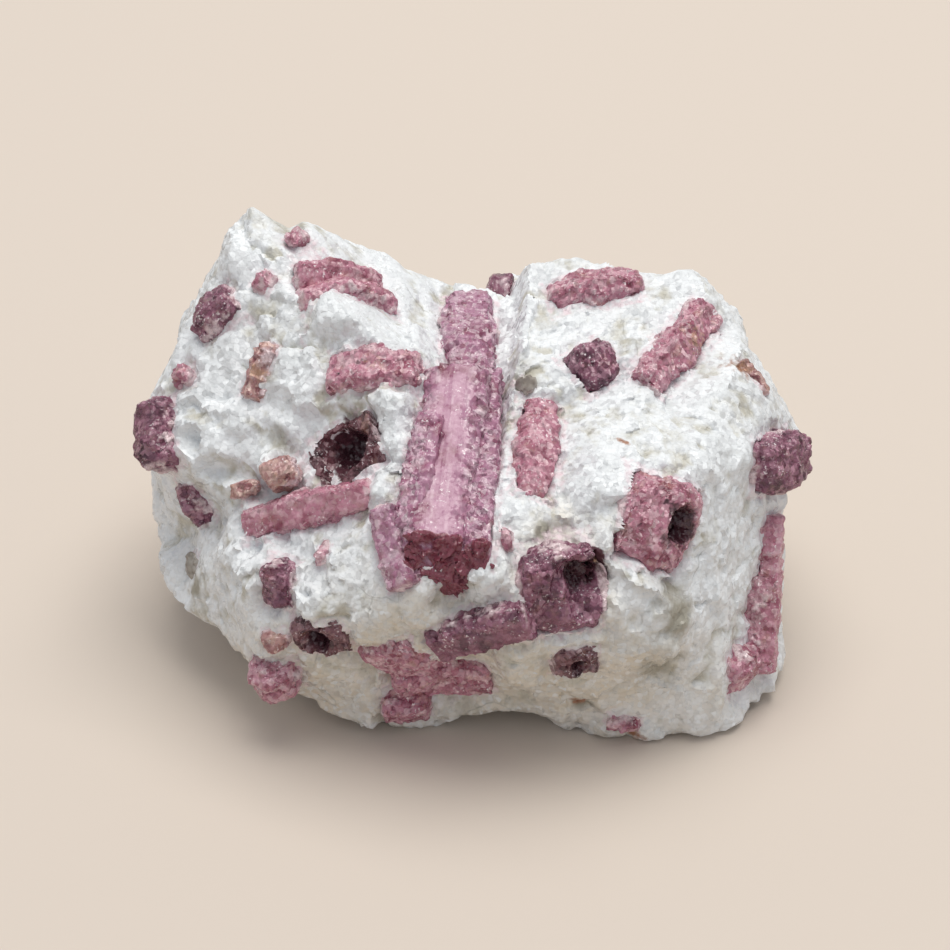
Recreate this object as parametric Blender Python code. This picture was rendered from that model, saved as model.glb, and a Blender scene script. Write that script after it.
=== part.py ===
"""Pink tourmaline in a broken lump of white albite and quartz: a hand specimen about 76 mm wide.

Sizes are in millimetres and become metres in the meshes. +X is the lump's right, +Y its back and +Z up.
The origin is on the surface that the lump stands on, under the middle of the lump.
"""

import itertools
import math
from collections import namedtuple

import bmesh
import bpy
import numpy as np
from mathutils import Vector

MM = 0.001

# ---------------------------------------------------------------- the lump of albite
HEART = np.array((0.0, 0.0, 20.0))  # the whole surface can be seen from here
TO_ORIGIN = np.array((0.5, -2.1, 0.0))  # the middle of the lump, which goes over the origin
# Each chunk is what lies inside its fracture planes. A plane is the bearing and rise of its outward
# normal in degrees (bearing 0 is right, 90 back, 180 left, -90 front) and a point that it passes through.
CHUNKS = {
    "peak": [
        (-122, 44, (-11, -27, 22.5)),
        (-80, 62, (-18, -4, 44)),
        (4, 60, (-9.5, 10, 39.4)),
        (82, 22, (-16, 13, 41)),
        (172, 26, (-31, 4, 36)),
        (-165, 5, (-35.5, 0, 18)),
        (155, -5, (-32, 14, 16)),
        (-137, -6, (-28.5, -18, 12)),
        (-145, -50, (-27, -16, 7)),
        (-98, -12, (-10, -27, 12)),
        (-60, -5, (4, -28, 18)),
        (105, -5, (-16, 23, 18)),
        (70, -14, (-4, 24, 14)),
        (0, 15, (4, -20, 26)),
        (0, -90, (0, 0, 1.4)),
    ],
    "dome": [
        (-90, 76, (16, 8, 38)),
        (-80, 50, (18, -16, 34)),
        (-35, 12, (31, -21, 3)),
        (-30, 45, (30, -6, 33)),
        (4, -4, (36, -4, 14)),
        (10, 30, (32, 4, 30.5)),
        (80, 40, (16, 14, 37)),
        (-78, -14, (19, -28, 16)),
        (85, 2, (14, 24.5, 18)),
        (40, 5, (30, 18, 16)),
        (180, 24, (5, 0, 35)),
        (-150, 8, (1, -24, 20)),
        (0, -90, (0, 0, 1.4)),
    ],
    "core": [
        (92, 4, (0, 22, 20)),
        (88, 52, (0, 14, 34)),
        (-90, 70, (0, 0, 33)),
        (-90, 10, (0, -10, 18)),
        (0, 0, (16, 0, 20)),
        (180, 0, (-16, 0, 20)),
        (0, -90, (0, 0, 1.4)),
    ],
}
EDGE_ROUNDING = 0.9  # how far the fracture edges are worn
VALLEY_ROUNDING = 1.6  # how softly one chunk meets the next
# Broad swellings (+) and hollows (-): bearing, rise and spread in degrees, height in mm.
RELIEF = (
    (-158, 1, 9, -4.6),
    (-88, -30, 15, -4.5),
    (-133, 30, 7, -2.5),
    (-66, 17, 9, -2.2),
    (-69, 8, 5, -1.5),
    (-112, 52, 8, -1.5),
    (-94, 5, 5, -3.0),
    (-96, 38, 11, -2.4),
    (-176, 10, 8, 1.2),
    (-42, -26, 8, 2.0),
    (-20, 25, 9, -1.2),
    (-17, -12, 9, -1.6),
    (60, 8, 15, -3.0),
    (118, 18, 14, -2.5),
    (150, -16, 12, 2.0),
    (90, -12, 13, 1.5),
    (20, -15, 12, -1.8),
    (-170, -30, 12, -2.0),
    (-57, -40, 11, 3.0),
    (-38, -36, 9, 1.5),
    (-104, -42, 11, 3.2),
    (48, -46, 13, 3.2),
    (146, -48, 13, 3.2),
    (-150, -58, 12, -1.5),
    (0, -58, 14, -1.5),
    (96, -52, 12, -1.5),
    (0, -90, 14, -2.5),
)
CHIP = 9.0  # how wide the broad fracture chips are
CHIP_RELIEF = 1.1
CHIP_SHARPNESS = 18  # how steep the ledge between two chips is
SWELL = 7.0  # how wide the softer unevenness between them is
SWELL_RELIEF = 0.5
TABLE_CELLS = 32  # the scattered seeds repeat after this many cells
# One scattered seed, and a height, in each cell of space.
TABLE = np.random.default_rng(11).random((TABLE_CELLS, TABLE_CELLS, TABLE_CELLS, 4))
FAR = 1e3  # further than any fracture plane

# ---------------------------------------------------------------- the tourmaline
# A bar of crystal runs over the lump from one direction to another, each a bearing and a rise from the
# heart in degrees. Width, thickness and how proud it stands of the broken surface are in mm. A straight
# bar (1) keeps to the chord between its ends and a following one (0) keeps to the surface; taper is how
# wide its ends are against its middle, and slant is how far its start is broken back at the outer side.
FIELDS = "start end width thick proud straight sides taper slant"
Bar = namedtuple("Bar", FIELDS, defaults=(0.5, 7, 0.8, 0.0))
# Each crystal has a tone and one or more bars that have grown together.
CRYSTALS = {
    "main_prism": ("lilac", (
        Bar((-98, 10), (-101, 69), 7.6, 6.6, 3.2, straight=1.0, sides=9, taper=1.0, slant=0.9),
        Bar((-105, 16), (-107, 48), 4.4, 6.0, 2.3, straight=1.0, sides=6),
        Bar((-89, 12), (-62, 74), 4.4, 6.0, 2.7, straight=1.0, sides=6, slant=0.6),
        Bar((-92, 66), (90, 54), 6.6, 5.5, 1.2),
        Bar((-103, 6), (-113, 21), 4.2, 4.4, 1.3, straight=1.0, sides=6, taper=1.0),
    )),
    "upper_twin": ("pink", (
        Bar((172, 50), (145, 58), 3.8, 4.2, 1.4, taper=0.7),
        Bar((180, 48), (154, 63), 3.8, 4.2, 1.2),
    )),
    "brown_prism": ("pink", (Bar((-158, 43), (-124, 62), 5.6, 5.0, 1.2, straight=0.7),)),
    "saddle_blade": ("plum", (Bar((78, 37), (76, 47), 3.2, 4.8, 3.0, sides=5),)),
    "peak_chip": ("pink", (Bar((162, 50), (151, 49), 1.8, 2.4, 0.7, sides=5, taper=0.6),)),
    "dome_prism": ("pink", (Bar((-42, 51), (-73, 22), 5.6, 4.6, 0.7, straight=0.7, sides=6, taper=0.6),)),
    "dark_rosette": ("plum", (Bar((-19, 49), (-2, 43), 6.4, 5.0, 0.5, taper=0.7),)),
    "brown_rod": ("pink", (Bar((-16, 35), (15, 30), 5.0, 4.6, 0.7, sides=6),)),
    "crest_rod": ("pink", (Bar((39, 57), (27, 39), 5.6, 4.6, 1.3, sides=6, taper=0.6),)),
    "slant_prism": ("pink", (Bar((-149, 4), (-119, 23), 4.6, 4.4, 1.0, straight=0.8, sides=6, taper=0.7),)),
    "cavity_crystal": ("maroon", (Bar((-143, 20), (-127, 38), 7.4, 6.0, 0.7, straight=0.2, sides=8),)),
    "cavity_knob": ("brown", (Bar((-148, 15), (-145, 21), 3.8, 3.8, 1.1, sides=6),)),
    "left_fleck": ("brown", (Bar((-155, 9), (-150, 13), 2.2, 3.0, 0.7, sides=5),)),
    "ledge_cluster": ("plum", (Bar((-136, -1), (-129, 0), 5.6, 4.8, 0.7),)),
    "ledge_fleck": ("pink", (Bar((-127, 7), (-124, 7), 2.2, 3.0, 0.7, sides=5),)),
    "dark_eye": ("maroon", (Bar((-128, -10), (-116, -8), 5.2, 5.0, 0.6, sides=8),)),
    "low_fleck": ("brown", (Bar((-133, -11), (-128, -10), 2.6, 3.0, 0.8, sides=5),)),
    "low_knob": ("pink", (Bar((-136, -20), (-127, -20), 5.4, 5.6, 2.6),)),
    "front_cluster": ("pink", (
        Bar((-110, -8), (-100, -24), 7.8, 5.0, 0.8),
        Bar((-109, -25), (-84, -23), 6.4, 4.8, 1.0),
        Bar((-112, -31), (-100, -32), 4.4, 4.4, 0.9),
    )),
    "front_rod": ("plum", (
        Bar((-98, -8), (-78, 3), 5.0, 4.4, 1.3, straight=0.8, taper=0.85),
        Bar((-80, 5), (-62, 5), 10.0, 6.0, 0.7, straight=0.2, sides=8),
    )),
    "front_ring": ("maroon", (Bar((-73, -11), (-63, -11), 4.6, 4.6, 1.0),)),
    "end_on_prism": ("pink", (Bar((-53, 18), (-39, 7), 11.0, 7.0, 0.7, straight=0.2, sides=9),)),
    "right_edge_rod": ("pink", (
        Bar((-15, -1), (-30, -23), 4.2, 5.0, 1.7, straight=0.7, sides=6),
        Bar((-30, -21), (-39, -20), 5.0, 4.6, 0.9),
    )),
    "right_knob": ("plum", (Bar((-20, 12), (-4, 5), 7.2, 7.0, 3.0),)),
    "left_knob": ("plum", (Bar((-176, 7), (-170, 15), 8.4, 7.4, 2.5),)),
    "left_knob_tip": ("pink", (Bar((-178, 20), (-177, 23), 2.6, 3.4, 1.4, sides=5),)),
    "left_upper_prism": ("plum", (Bar((174, 27), (173, 38), 5.0, 4.8, 1.3, sides=6),)),
    "left_vein": ("brown", (Bar((-166, 27), (-174, 39), 2.2, 3.4, 0.7, sides=5),)),
    "peak_fleck": ("pink", (Bar((174, 42), (170, 46), 2.0, 3.0, 0.8, sides=5),)),
    "left_low_prism": ("plum", (Bar((-168, 4), (-165, -5), 3.4, 4.0, 0.8, sides=6),)),
    "main_chip": ("pink", (Bar((-82, 19), (-81, 14), 1.6, 2.8, 0.8, sides=5),)),
    "orange_vein": ("brown", (Bar((1, 24), (-3, 17), 2.0, 3.2, 0.6, sides=5),)),
    "foot_fleck": ("pink", (Bar((-59, -29), (-53, -29), 2.2, 3.0, 0.8, sides=5),)),
    "back_prism": ("lilac", (Bar((118, 34), (104, 8), 7.4, 6.0, 1.4, straight=0.9, sides=9, taper=0.95),)),
    "back_rod": ("pink", (Bar((62, 24), (84, 12), 4.2, 4.4, 0.9, sides=6),)),
    "back_knob": ("plum", (Bar((64, -12), (72, -16), 5.2, 5.2, 1.4),)),
    "back_low_rod": ("pink", (Bar((128, -8), (104, -20), 4.2, 4.4, 0.9, sides=6),)),
    "back_left_knob": ("pink", (Bar((146, 16), (154, 11), 5.4, 5.0, 1.0),)),
    "left_back_rod": ("pink", (Bar((168, -4), (148, -12), 4.0, 4.2, 0.8, sides=6),)),
    "right_back_prism": ("pink", (Bar((22, 18), (34, 4), 5.4, 5.0, 0.9),)),
    "right_low_knob": ("plum", (Bar((8, -24), (14, -30), 4.2, 4.4, 1.2),)),
    "under_rod": ("pink", (Bar((-160, -68), (-70, -72), 4.0, 4.4, 0.1, sides=6),)),
}
# Grains of grey quartz are set in the albite in the same way.
QUARTZ = {
    "quartz_grain_saddle": ("quartz", (Bar((-47, 60), (-36, 60), 2.4, 3.0, 0.6, sides=5),)),
    "quartz_grain_left": ("quartz", (Bar((-163, -10), (-160, -14), 2.6, 3.2, 0.6, sides=5),)),
    "quartz_grain_back": ("quartz", (Bar((48, -4), (54, -6), 3.4, 3.6, 0.6, sides=5),)),
}
# Pits in the crystals: the direction of each, its radius and its depth in mm.
PITS = {
    "cavity_crystal": ((-136, 30), 3.0, 3.4),
    "dark_eye": ((-122, -9), 2.0, 2.4),
    "front_rod": ((-66, 8), 2.2, 2.4),
    "front_ring": ((-68, -11), 1.3, 1.8),
    "end_on_prism": ((-44, 12), 2.7, 2.8),
}
GAP = 0.3  # clear space between a crystal and the rock round it
CRUMBLE = 0.13  # how uneven a crystal's sides are, against its width
CRUMBLE_SIZE = 0.45  # how long that unevenness is, against its width
RAGGED = 1.3  # how much more uneven a bar that follows the surface is than a straight one
BLUNT = 0.62  # how far a crystal's outline is filled out from an ellipse (1) towards a box (0)
BARED = 0.3  # how far up a crystal the rock beside it stays, from its middle line, against its thickness
BROKEN_BACK = 1.4  # how wide the rock has broken away beside a crystal that it covered
PIT_RIM = 0.6  # how high above the broken surface a pit's rim lies
PIT_FLOOR = 0.4  # how wide a pit's floor is against its rim
PIT_MOUTH = 1.6  # how wide a pit's opening is above its rim, against its rim
PIT_CLEAR = 4.0  # how high above its rim the opening goes
PIT_SIDES = 8
PEAK = (155, 46)  # the direction of the lump's highest point
RINGS = 3  # cross-sections along a bar
LUMP_CELLS = 15  # cells across each of the six faces that the lump's mesh is wrapped on

# ---------------------------------------------------------------- the finishes
# Each tone's sRGB colour and roughness.
TONES = {
    "albite": ("E6E7E2", 0.62),
    "quartz": ("A8A294", 0.35),
    "lilac": ("B4809A", 0.38),
    "pink": ("B0707F", 0.45),
    "plum": ("7C4A66", 0.42),
    "maroon": ("5A2C38", 0.40),
    "brown": ("B58572", 0.55),
}


# ---------------------------------------------------------------- the shapes
def unit(bearing, rise):
    """The direction at a bearing and a rise, both in degrees."""
    b, r = math.radians(bearing), math.radians(rise)
    return np.array((math.cos(b) * math.cos(r), math.sin(b) * math.cos(r), math.sin(r)))


def chunk_reach(rays, planes):
    """How far each ray from the heart goes before it leaves a chunk: the least of its distances to the
    planes, blended so that the edges between planes are rounded."""
    reach = np.full((len(planes), len(rays)), FAR)
    for row, (bearing, rise, through) in zip(reach, planes):
        normal = unit(bearing, rise)
        facing = rays @ normal
        ahead = facing > 1e-3
        row[ahead] = np.minimum(FAR, (np.array(through) - HEART) @ normal / facing[ahead])
    nearest = reach.min(axis=0)
    return nearest - EDGE_ROUNDING * np.log(np.exp((nearest - reach) / EDGE_ROUNDING).sum(axis=0))


def lump_reach(rays):
    """How far the lump's broad shape lies from the heart along each ray: the most of the chunks' reaches,
    blended in the valleys, and the swellings and hollows as bell-shaped heights round their directions."""
    reach = np.array([chunk_reach(rays, planes) for planes in CHUNKS.values()])
    furthest = reach.max(axis=0)
    blend = np.exp((reach - furthest) / VALLEY_ROUNDING).sum(axis=0)
    total = furthest + VALLEY_ROUNDING * np.log(blend)
    for bearing, rise, spread, height in RELIEF:
        apart = np.degrees(np.arccos(np.clip(rays @ unit(bearing, rise), -1, 1)))
        total += height * np.exp(-(apart / spread) ** 2)
    return total


def cells(points, size):
    """The cell of space that holds each point, and where in it the point lies from 0 to 1."""
    place = points / size
    cell = np.floor(place).astype(int)
    return cell, place - cell


def chips(points, size):
    """Fracture facets: the tilted planes that belong to the seeds scattered one to a cell, each point
    taking mostly its nearest seed's plane, as a height in cells."""
    cell, place = cells(points, size)
    share = np.zeros(len(points))
    total = np.zeros(len(points))
    for step in itertools.product((-1, 0, 1), repeat=3):
        seed = TABLE[tuple(((cell + step) % TABLE_CELLS).T)]
        away = place - step - seed[:, :3]
        near = np.exp(-CHIP_SHARPNESS * (away**2).sum(axis=1))
        share += near
        total += near * (seed[:, 3] - 0.5 + (away * (2 * seed[:, [1, 2, 0]] - 1)).sum(axis=1))
    return total / share


def swells(points, size):
    """Soft unevenness from -0.5 to 0.5: the seeds' heights at a cell's eight corners, blended smoothly."""
    cell, place = cells(points, size)
    ease = place * place * (3 - 2 * place)
    total = np.zeros(len(points))
    for corner in itertools.product((0, 1), repeat=3):
        share = np.where(np.array(corner), ease, 1 - ease).prod(axis=1)
        total += share * TABLE[tuple(((cell + corner) % TABLE_CELLS).T)][:, 3]
    return total - 0.5


def surface_reach(rays):
    """How far the broken surface lies from the heart along each ray: the broad shape with fracture chips
    and soft unevenness on it, cut flat where it would pass below the ground."""
    reach = lump_reach(rays)
    points = HEART + rays * reach[:, None]
    reach += CHIP_RELIEF * chips(points, CHIP) + SWELL_RELIEF * 2 * swells(points, SWELL)
    down = rays[:, 2] < -1e-6
    reach[down] = np.minimum(reach[down], HEART[2] / -rays[down, 2])
    return reach


def cube_sphere(n):
    """Unit rays on a cube's six faces, n cells across each, and the quads that join them."""
    steps = np.tan(np.linspace(-np.pi / 4, np.pi / 4, n + 1))
    a, b = np.meshgrid(steps, steps, indexing="ij")
    one = np.ones_like(a)
    faces = [(one, a, b), (-one, b, a), (b, one, a), (a, -one, b), (a, b, one), (b, a, -one)]
    grid = np.array([np.stack(f, axis=-1).reshape(-1, 3) for f in faces])
    corner = np.arange((n + 1) ** 2).reshape(n + 1, n + 1)
    quad = np.stack([corner[:-1, :-1], corner[1:, :-1], corner[1:, 1:], corner[:-1, 1:]], axis=-1)
    quads = np.concatenate([quad.reshape(-1, 4) + i * (n + 1) ** 2 for i in range(6)])
    points = grid.reshape(-1, 3)
    _, first, index = np.unique(np.round(points, 6), axis=0, return_index=True, return_inverse=True)
    points = points[first]
    return points / np.linalg.norm(points, axis=1, keepdims=True), index.reshape(-1)[quads]


def bar_axis(bar):
    """The middle line of a bar, ring by ring, and its directions: along it, and outwards and sideways at
    each ring."""
    along = np.linspace(0, 1, RINGS)[:, None]
    out = unit(*bar.start) * (1 - along) + unit(*bar.end) * along
    out /= np.linalg.norm(out, axis=1, keepdims=True)
    surface = HEART + out * surface_reach(out)[:, None]
    chord = surface[0] + (surface[-1] - surface[0]) * along
    axis = surface + (chord - surface) * bar.straight + out * (bar.proud - bar.thick / 2)
    forward = axis[-1] - axis[0]
    forward /= np.linalg.norm(forward)
    up = out - (out @ forward)[:, None] * forward
    up /= np.linalg.norm(up, axis=1, keepdims=True)
    return axis, forward, up, np.cross(forward, up)


def bared_reach(rays, bars):
    """How far the rock's surface lies from the heart where it has also broken away over the bars: beside
    and above each, whatever stood higher than its shoulder is gone, fading out past its sides and ends."""
    reach = surface_reach(rays)
    for bar in bars:
        axis, forward, up, side = bar_axis(bar)
        points = HEART + rays * reach[:, None]
        length = np.linalg.norm(axis[-1] - axis[0])
        run = (points - axis[0]) @ forward
        part = np.clip(run / length, 0, 1) * (RINGS - 1)
        ring = np.minimum(part.astype(int), RINGS - 2)
        share = (part - ring)[:, None]
        offset = points - (axis[ring] * (1 - share) + axis[ring + 1] * share)
        over = (offset * up[ring]).sum(axis=1) - BARED * bar.thick
        beside = np.abs((offset * side[ring]).sum(axis=1)) - bar.width / 2
        beyond = np.abs(run - length / 2) - length / 2
        fade = np.clip(1 - np.maximum(beside, beyond) / BROKEN_BACK, 0, 1)
        near = (offset**2).sum(axis=1) < (bar.width + bar.thick + BROKEN_BACK) ** 2
        reach -= np.maximum(over, 0) * fade * near
    return reach


def bar_mesh(bar, grow):
    """A bar's points and faces: many-sided rings along its axis, closed by a point at each end. Growing
    it by the gap gives the cutter of its socket."""
    axis, along, up, side = bar_axis(bar)
    turn = (np.arange(bar.sides) + 0.5) * 2 * math.pi / bar.sides + math.pi / 2
    sideways = np.sign(np.cos(turn)) * np.abs(np.cos(turn)) ** BLUNT
    outwards = np.sign(np.sin(turn)) * np.abs(np.sin(turn)) ** BLUNT
    scale = np.ones(RINGS)
    scale[[0, -1]] = bar.taper
    inset = np.zeros(RINGS)
    inset[[0, -1]] = np.array((1, -1)) * ((1 - bar.taper) * bar.width / 2 - grow)
    middle = axis + inset[:, None] * along
    across = sideways[None, :, None] * side[:, None, :] * bar.width / 2
    upward = outwards[None, :, None] * up[:, None, :] * bar.thick / 2
    spoke = (across + upward) * scale[:, None, None]
    length = np.linalg.norm(spoke, axis=2, keepdims=True)
    uneven = swells((middle[:, None] + spoke).reshape(-1, 3), CRUMBLE_SIZE * bar.width)
    rough = CRUMBLE * bar.width * (RAGGED - bar.straight) * uneven.reshape(RINGS, -1, 1)
    rings = middle[:, None] + spoke * (1 + (rough + grow) / length)
    rings[0] += bar.slant * (spoke[0] @ up[0])[:, None] * along
    tips = np.array((axis[0] - along * grow, axis[-1] + along * grow))
    points = np.concatenate([rings.reshape(-1, 3), tips])
    first, last = RINGS * bar.sides, RINGS * bar.sides + 1
    faces = []
    for k in range(bar.sides):
        following = (k + 1) % bar.sides
        faces.append((first, following, k))
        faces.append((last, first - bar.sides + k, first - bar.sides + following))
        for ring in range(RINGS - 1):
            low, high = ring * bar.sides, (ring + 1) * bar.sides
            faces.append((low + k, low + following, high + following, high + k))
    return points, faces


def bowl_mesh(direction, radius, depth):
    """The cutter of a pit: a cone from its floor up to its rim, and a wider one above the rim."""
    out = unit(*direction)
    side = np.cross(out, (0, 0, 1))
    side /= np.linalg.norm(side)
    up = np.cross(side, out)
    centre = HEART + out * (surface_reach(out[None])[0] + PIT_RIM)
    turn = np.arange(PIT_SIDES) * 2 * math.pi / PIT_SIDES
    ring = (np.cos(turn)[:, None] * side + np.sin(turn)[:, None] * up) * radius
    levels = ((PIT_CLEAR, PIT_MOUTH), (0.0, 1.0), (-depth, PIT_FLOOR))
    points = np.concatenate([centre + out * height + ring * wide for height, wide in levels])
    mouth, floor = range(PIT_SIDES), range(2 * PIT_SIDES, 3 * PIT_SIDES)
    faces = [tuple(mouth), tuple(reversed(floor))]
    for level in (0, PIT_SIDES):
        for k in range(PIT_SIDES):
            near, following = level + k, level + (k + 1) % PIT_SIDES
            faces.append((near, near + PIT_SIDES, following + PIT_SIDES, following))
    return points, faces


# ---------------------------------------------------------------- the objects
def linear(hexcode):
    """Linear colour of an sRGB hex code."""
    srgb = np.array([int(hexcode[i:i + 2], 16) / 255 for i in (0, 2, 4)])
    return *np.where(srgb <= 0.04045, srgb / 12.92, ((srgb + 0.055) / 1.055) ** 2.4), 1.0


def make_material(name, tone):
    """A plain coloured material for one sub-part."""
    hexcode, roughness = TONES[tone]
    material = bpy.data.materials.new(name)
    material.use_nodes = True
    shader = material.node_tree.nodes["Principled BSDF"]
    shader.inputs["Base Color"].default_value = linear(hexcode)
    shader.inputs["Roughness"].default_value = roughness
    shader.inputs["Metallic"].default_value = 0.0
    material.diffuse_color = linear(hexcode)
    return material


def make_object(name, points, faces, parent=None, collection=None):
    """An object whose own origin is in the middle of its points, triangulated and facing outwards."""
    centre = points.mean(axis=0)
    mesh = bpy.data.meshes.new(name)
    mesh.from_pydata(((points - centre) * MM).tolist(), [], faces)
    edit = bmesh.new()
    edit.from_mesh(mesh)
    bmesh.ops.triangulate(edit, faces=edit.faces)
    bmesh.ops.recalc_face_normals(edit, faces=edit.faces)
    edit.to_mesh(mesh)
    edit.free()
    made = bpy.data.objects.new(name, mesh)
    made.location = (centre - TO_ORIGIN) * MM
    made.parent = parent
    (collection or bpy.context.scene.collection).objects.link(made)
    return made


def make_cutter(name, points, faces, collection=None):
    """A body that only shapes others."""
    cutter = make_object(name, points, faces, collection=collection)
    cutter.hide_render = True
    cutter.display_type = "WIRE"
    return cutter


def add_boolean(target, operation, cutter=None, collection=None):
    """An exact Boolean of one cutter or of a collection of them."""
    modifier = target.modifiers.new(operation.title(), "BOOLEAN")
    modifier.operation = operation
    modifier.solver = "EXACT"
    if collection:
        modifier.operand_type = "COLLECTION"
        modifier.collection = collection
    else:
        modifier.object = cutter


def make_crystal(name, tone, bars, parent, sockets):
    """One crystal or cluster: its bars united, its pit cut out, and the cutters of its socket."""
    crystal = make_object(name, *bar_mesh(bars[0], 0.0), parent=parent)
    crystal.data.materials.append(make_material(name, tone))
    for number, bar in enumerate(bars[1:]):
        add_boolean(crystal, "UNION", make_cutter(f"{name}_bar_{number}", *bar_mesh(bar, 0.0)))
    if name in PITS:
        add_boolean(crystal, "DIFFERENCE", make_cutter(f"{name}_pit", *bowl_mesh(*PITS[name])))
    for number, bar in enumerate(bars):
        make_cutter(f"{name}_socket_{number}", *bar_mesh(bar, GAP), collection=sockets)


def make_lump(parent, sockets):
    """The lump of albite, with the crystals' sockets cut out of it."""
    rays, quads = cube_sphere(LUMP_CELLS)
    turn = Vector((-1, 1, 1)).rotation_difference(Vector(unit(*PEAK)))  # a cube's corner goes to the peak
    rays = rays @ np.array(turn.to_matrix()).T
    bars = [bar for _, grown in {**CRYSTALS, **QUARTZ}.values() for bar in grown]
    points = HEART + rays * bared_reach(rays, bars)[:, None]
    lump = make_object("matrix", points, quads.tolist(), parent=parent)
    lump.data.materials.append(make_material("matrix", "albite"))
    add_boolean(lump, "DIFFERENCE", collection=sockets)


def main():
    for old in list(bpy.data.objects):
        bpy.data.objects.remove(old)
    specimen = bpy.data.objects.new("specimen", None)
    bpy.context.scene.collection.objects.link(specimen)
    sockets = bpy.data.collections.new("sockets")
    bpy.context.scene.collection.children.link(sockets)
    for name, (tone, bars) in {**CRYSTALS, **QUARTZ}.items():
        make_crystal(name, tone, bars, specimen, sockets)
    make_lump(specimen, sockets)


main()
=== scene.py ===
"""Finishes a hand specimen: a broken lump of sugary white albite with pink tourmaline grown through it.

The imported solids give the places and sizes. Each is replaced by a finely worked surface of the same form.
The maths below is in millimetres, in the same axes as the frame; meshes and settings are in metres.
"""

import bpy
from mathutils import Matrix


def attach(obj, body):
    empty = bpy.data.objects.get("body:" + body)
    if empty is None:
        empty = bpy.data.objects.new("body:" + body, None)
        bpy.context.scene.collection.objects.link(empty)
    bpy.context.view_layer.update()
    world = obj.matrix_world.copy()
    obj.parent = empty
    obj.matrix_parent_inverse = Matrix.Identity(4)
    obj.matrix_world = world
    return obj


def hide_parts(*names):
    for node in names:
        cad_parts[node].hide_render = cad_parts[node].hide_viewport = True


bl_info = {
    "name": "Pink Tourmaline Specimen",
    "version": (1, 0, 0),
    "blender": (4, 5, 0),
    "location": "3D View > Sidebar > Specimen",
    "description": "Builds the fine surfaces, finishes and stage of a pink tourmaline hand specimen",
    "category": "Add Mesh",
}

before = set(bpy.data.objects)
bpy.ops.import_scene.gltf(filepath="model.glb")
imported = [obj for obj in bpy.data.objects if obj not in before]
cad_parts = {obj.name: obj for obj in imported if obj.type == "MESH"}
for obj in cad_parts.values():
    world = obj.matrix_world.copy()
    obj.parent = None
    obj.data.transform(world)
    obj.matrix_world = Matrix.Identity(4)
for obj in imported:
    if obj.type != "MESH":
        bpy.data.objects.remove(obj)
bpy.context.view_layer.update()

import itertools
import math
from collections import namedtuple

import bmesh
import bpy
import numpy as np
from mathutils import Vector

MM = 0.001

# ---------------------------------------------------------------- the lump of albite
HEART = np.array((0.0, 0.0, 20.0))  # the whole surface can be seen from here
FAR = 1e3  # further than any part of the lump
TO_ORIGIN = np.array((0.5, -2.1, 0.0))  # the middle of the lump, which goes over the origin
PEAK = (155, 46)  # the bearing and rise of the lump's highest point, in degrees
# Each chunk is what lies inside its fracture planes. A plane is the bearing and rise of its outward
# normal in degrees (bearing 0 is right, 90 back, 180 left, -90 front) and a point that it passes through.
CHUNKS = {
    "peak": [
        (-122, 44, (-11, -27, 22.5)),
        (-80, 62, (-18, -4, 44)),
        (4, 60, (-9.5, 10, 39.4)),
        (82, 22, (-16, 13, 41)),
        (172, 26, (-31, 4, 36)),
        (-165, 5, (-35.5, 0, 18)),
        (155, -5, (-32, 14, 16)),
        (-137, -6, (-28.5, -18, 12)),
        (-145, -50, (-27, -16, 7)),
        (-98, -12, (-10, -27, 12)),
        (-60, -5, (4, -28, 18)),
        (105, -5, (-16, 23, 18)),
        (70, -14, (-4, 24, 14)),
        (0, 15, (4, -20, 26)),
        (0, -90, (0, 0, 1.4)),
    ],
    "dome": [
        (-90, 76, (16, 8, 38)),
        (-80, 50, (18, -16, 34)),
        (-35, 12, (31, -21, 3)),
        (-30, 45, (30, -6, 33)),
        (4, -4, (36, -4, 14)),
        (10, 30, (32, 4, 30.5)),
        (80, 40, (16, 14, 37)),
        (-78, -14, (19, -28, 16)),
        (85, 2, (14, 24.5, 18)),
        (40, 5, (30, 18, 16)),
        (180, 24, (5, 0, 35)),
        (-150, 8, (1, -24, 20)),
        (0, -90, (0, 0, 1.4)),
    ],
    "core": [
        (92, 4, (0, 22, 20)),
        (88, 52, (0, 14, 34)),
        (-90, 70, (0, 0, 33)),
        (-90, 10, (0, -10, 18)),
        (0, 0, (16, 0, 20)),
        (180, 0, (-16, 0, 20)),
        (0, -90, (0, 0, 1.4)),
    ],
}
EDGE_ROUNDING = 0.9  # how far the fracture edges are worn
VALLEY_ROUNDING = 1.6  # how softly one chunk meets the next
# Broad swellings (+) and hollows (-): bearing, rise and spread in degrees, height in mm.
RELIEF = (
    (-158, 1, 9, -4.6),
    (-88, -30, 15, -4.5),
    (-133, 30, 7, -2.5),
    (-66, 17, 9, -2.2),
    (-69, 8, 5, -1.5),
    (-112, 52, 8, -1.5),
    (-94, 5, 5, -3.0),
    (-96, 38, 11, -2.4),
    (-176, 10, 8, 1.2),
    (-42, -26, 8, 2.0),
    (-20, 25, 9, -1.2),
    (-17, -12, 9, -1.6),
    (60, 8, 15, -3.0),
    (118, 18, 14, -2.5),
    (150, -16, 12, 2.0),
    (90, -12, 13, 1.5),
    (20, -15, 12, -1.8),
    (-170, -30, 12, -2.0),
    (-57, -40, 11, 3.0),
    (-38, -36, 9, 1.5),
    (-104, -42, 11, 3.2),
    (48, -46, 13, 3.2),
    (146, -48, 13, 3.2),
    (-150, -58, 12, -1.5),
    (0, -58, 14, -1.5),
    (96, -52, 12, -1.5),
    (0, -90, 14, -2.5),
)
CHIP = 9.0  # how wide the broad fracture chips are
CHIP_RELIEF = 1.1
CHIP_SHARPNESS = 18  # how steep the ledge between two chips is
SWELL = 7.0  # how wide the softer unevenness between them is
SWELL_RELIEF = 0.5
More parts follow.
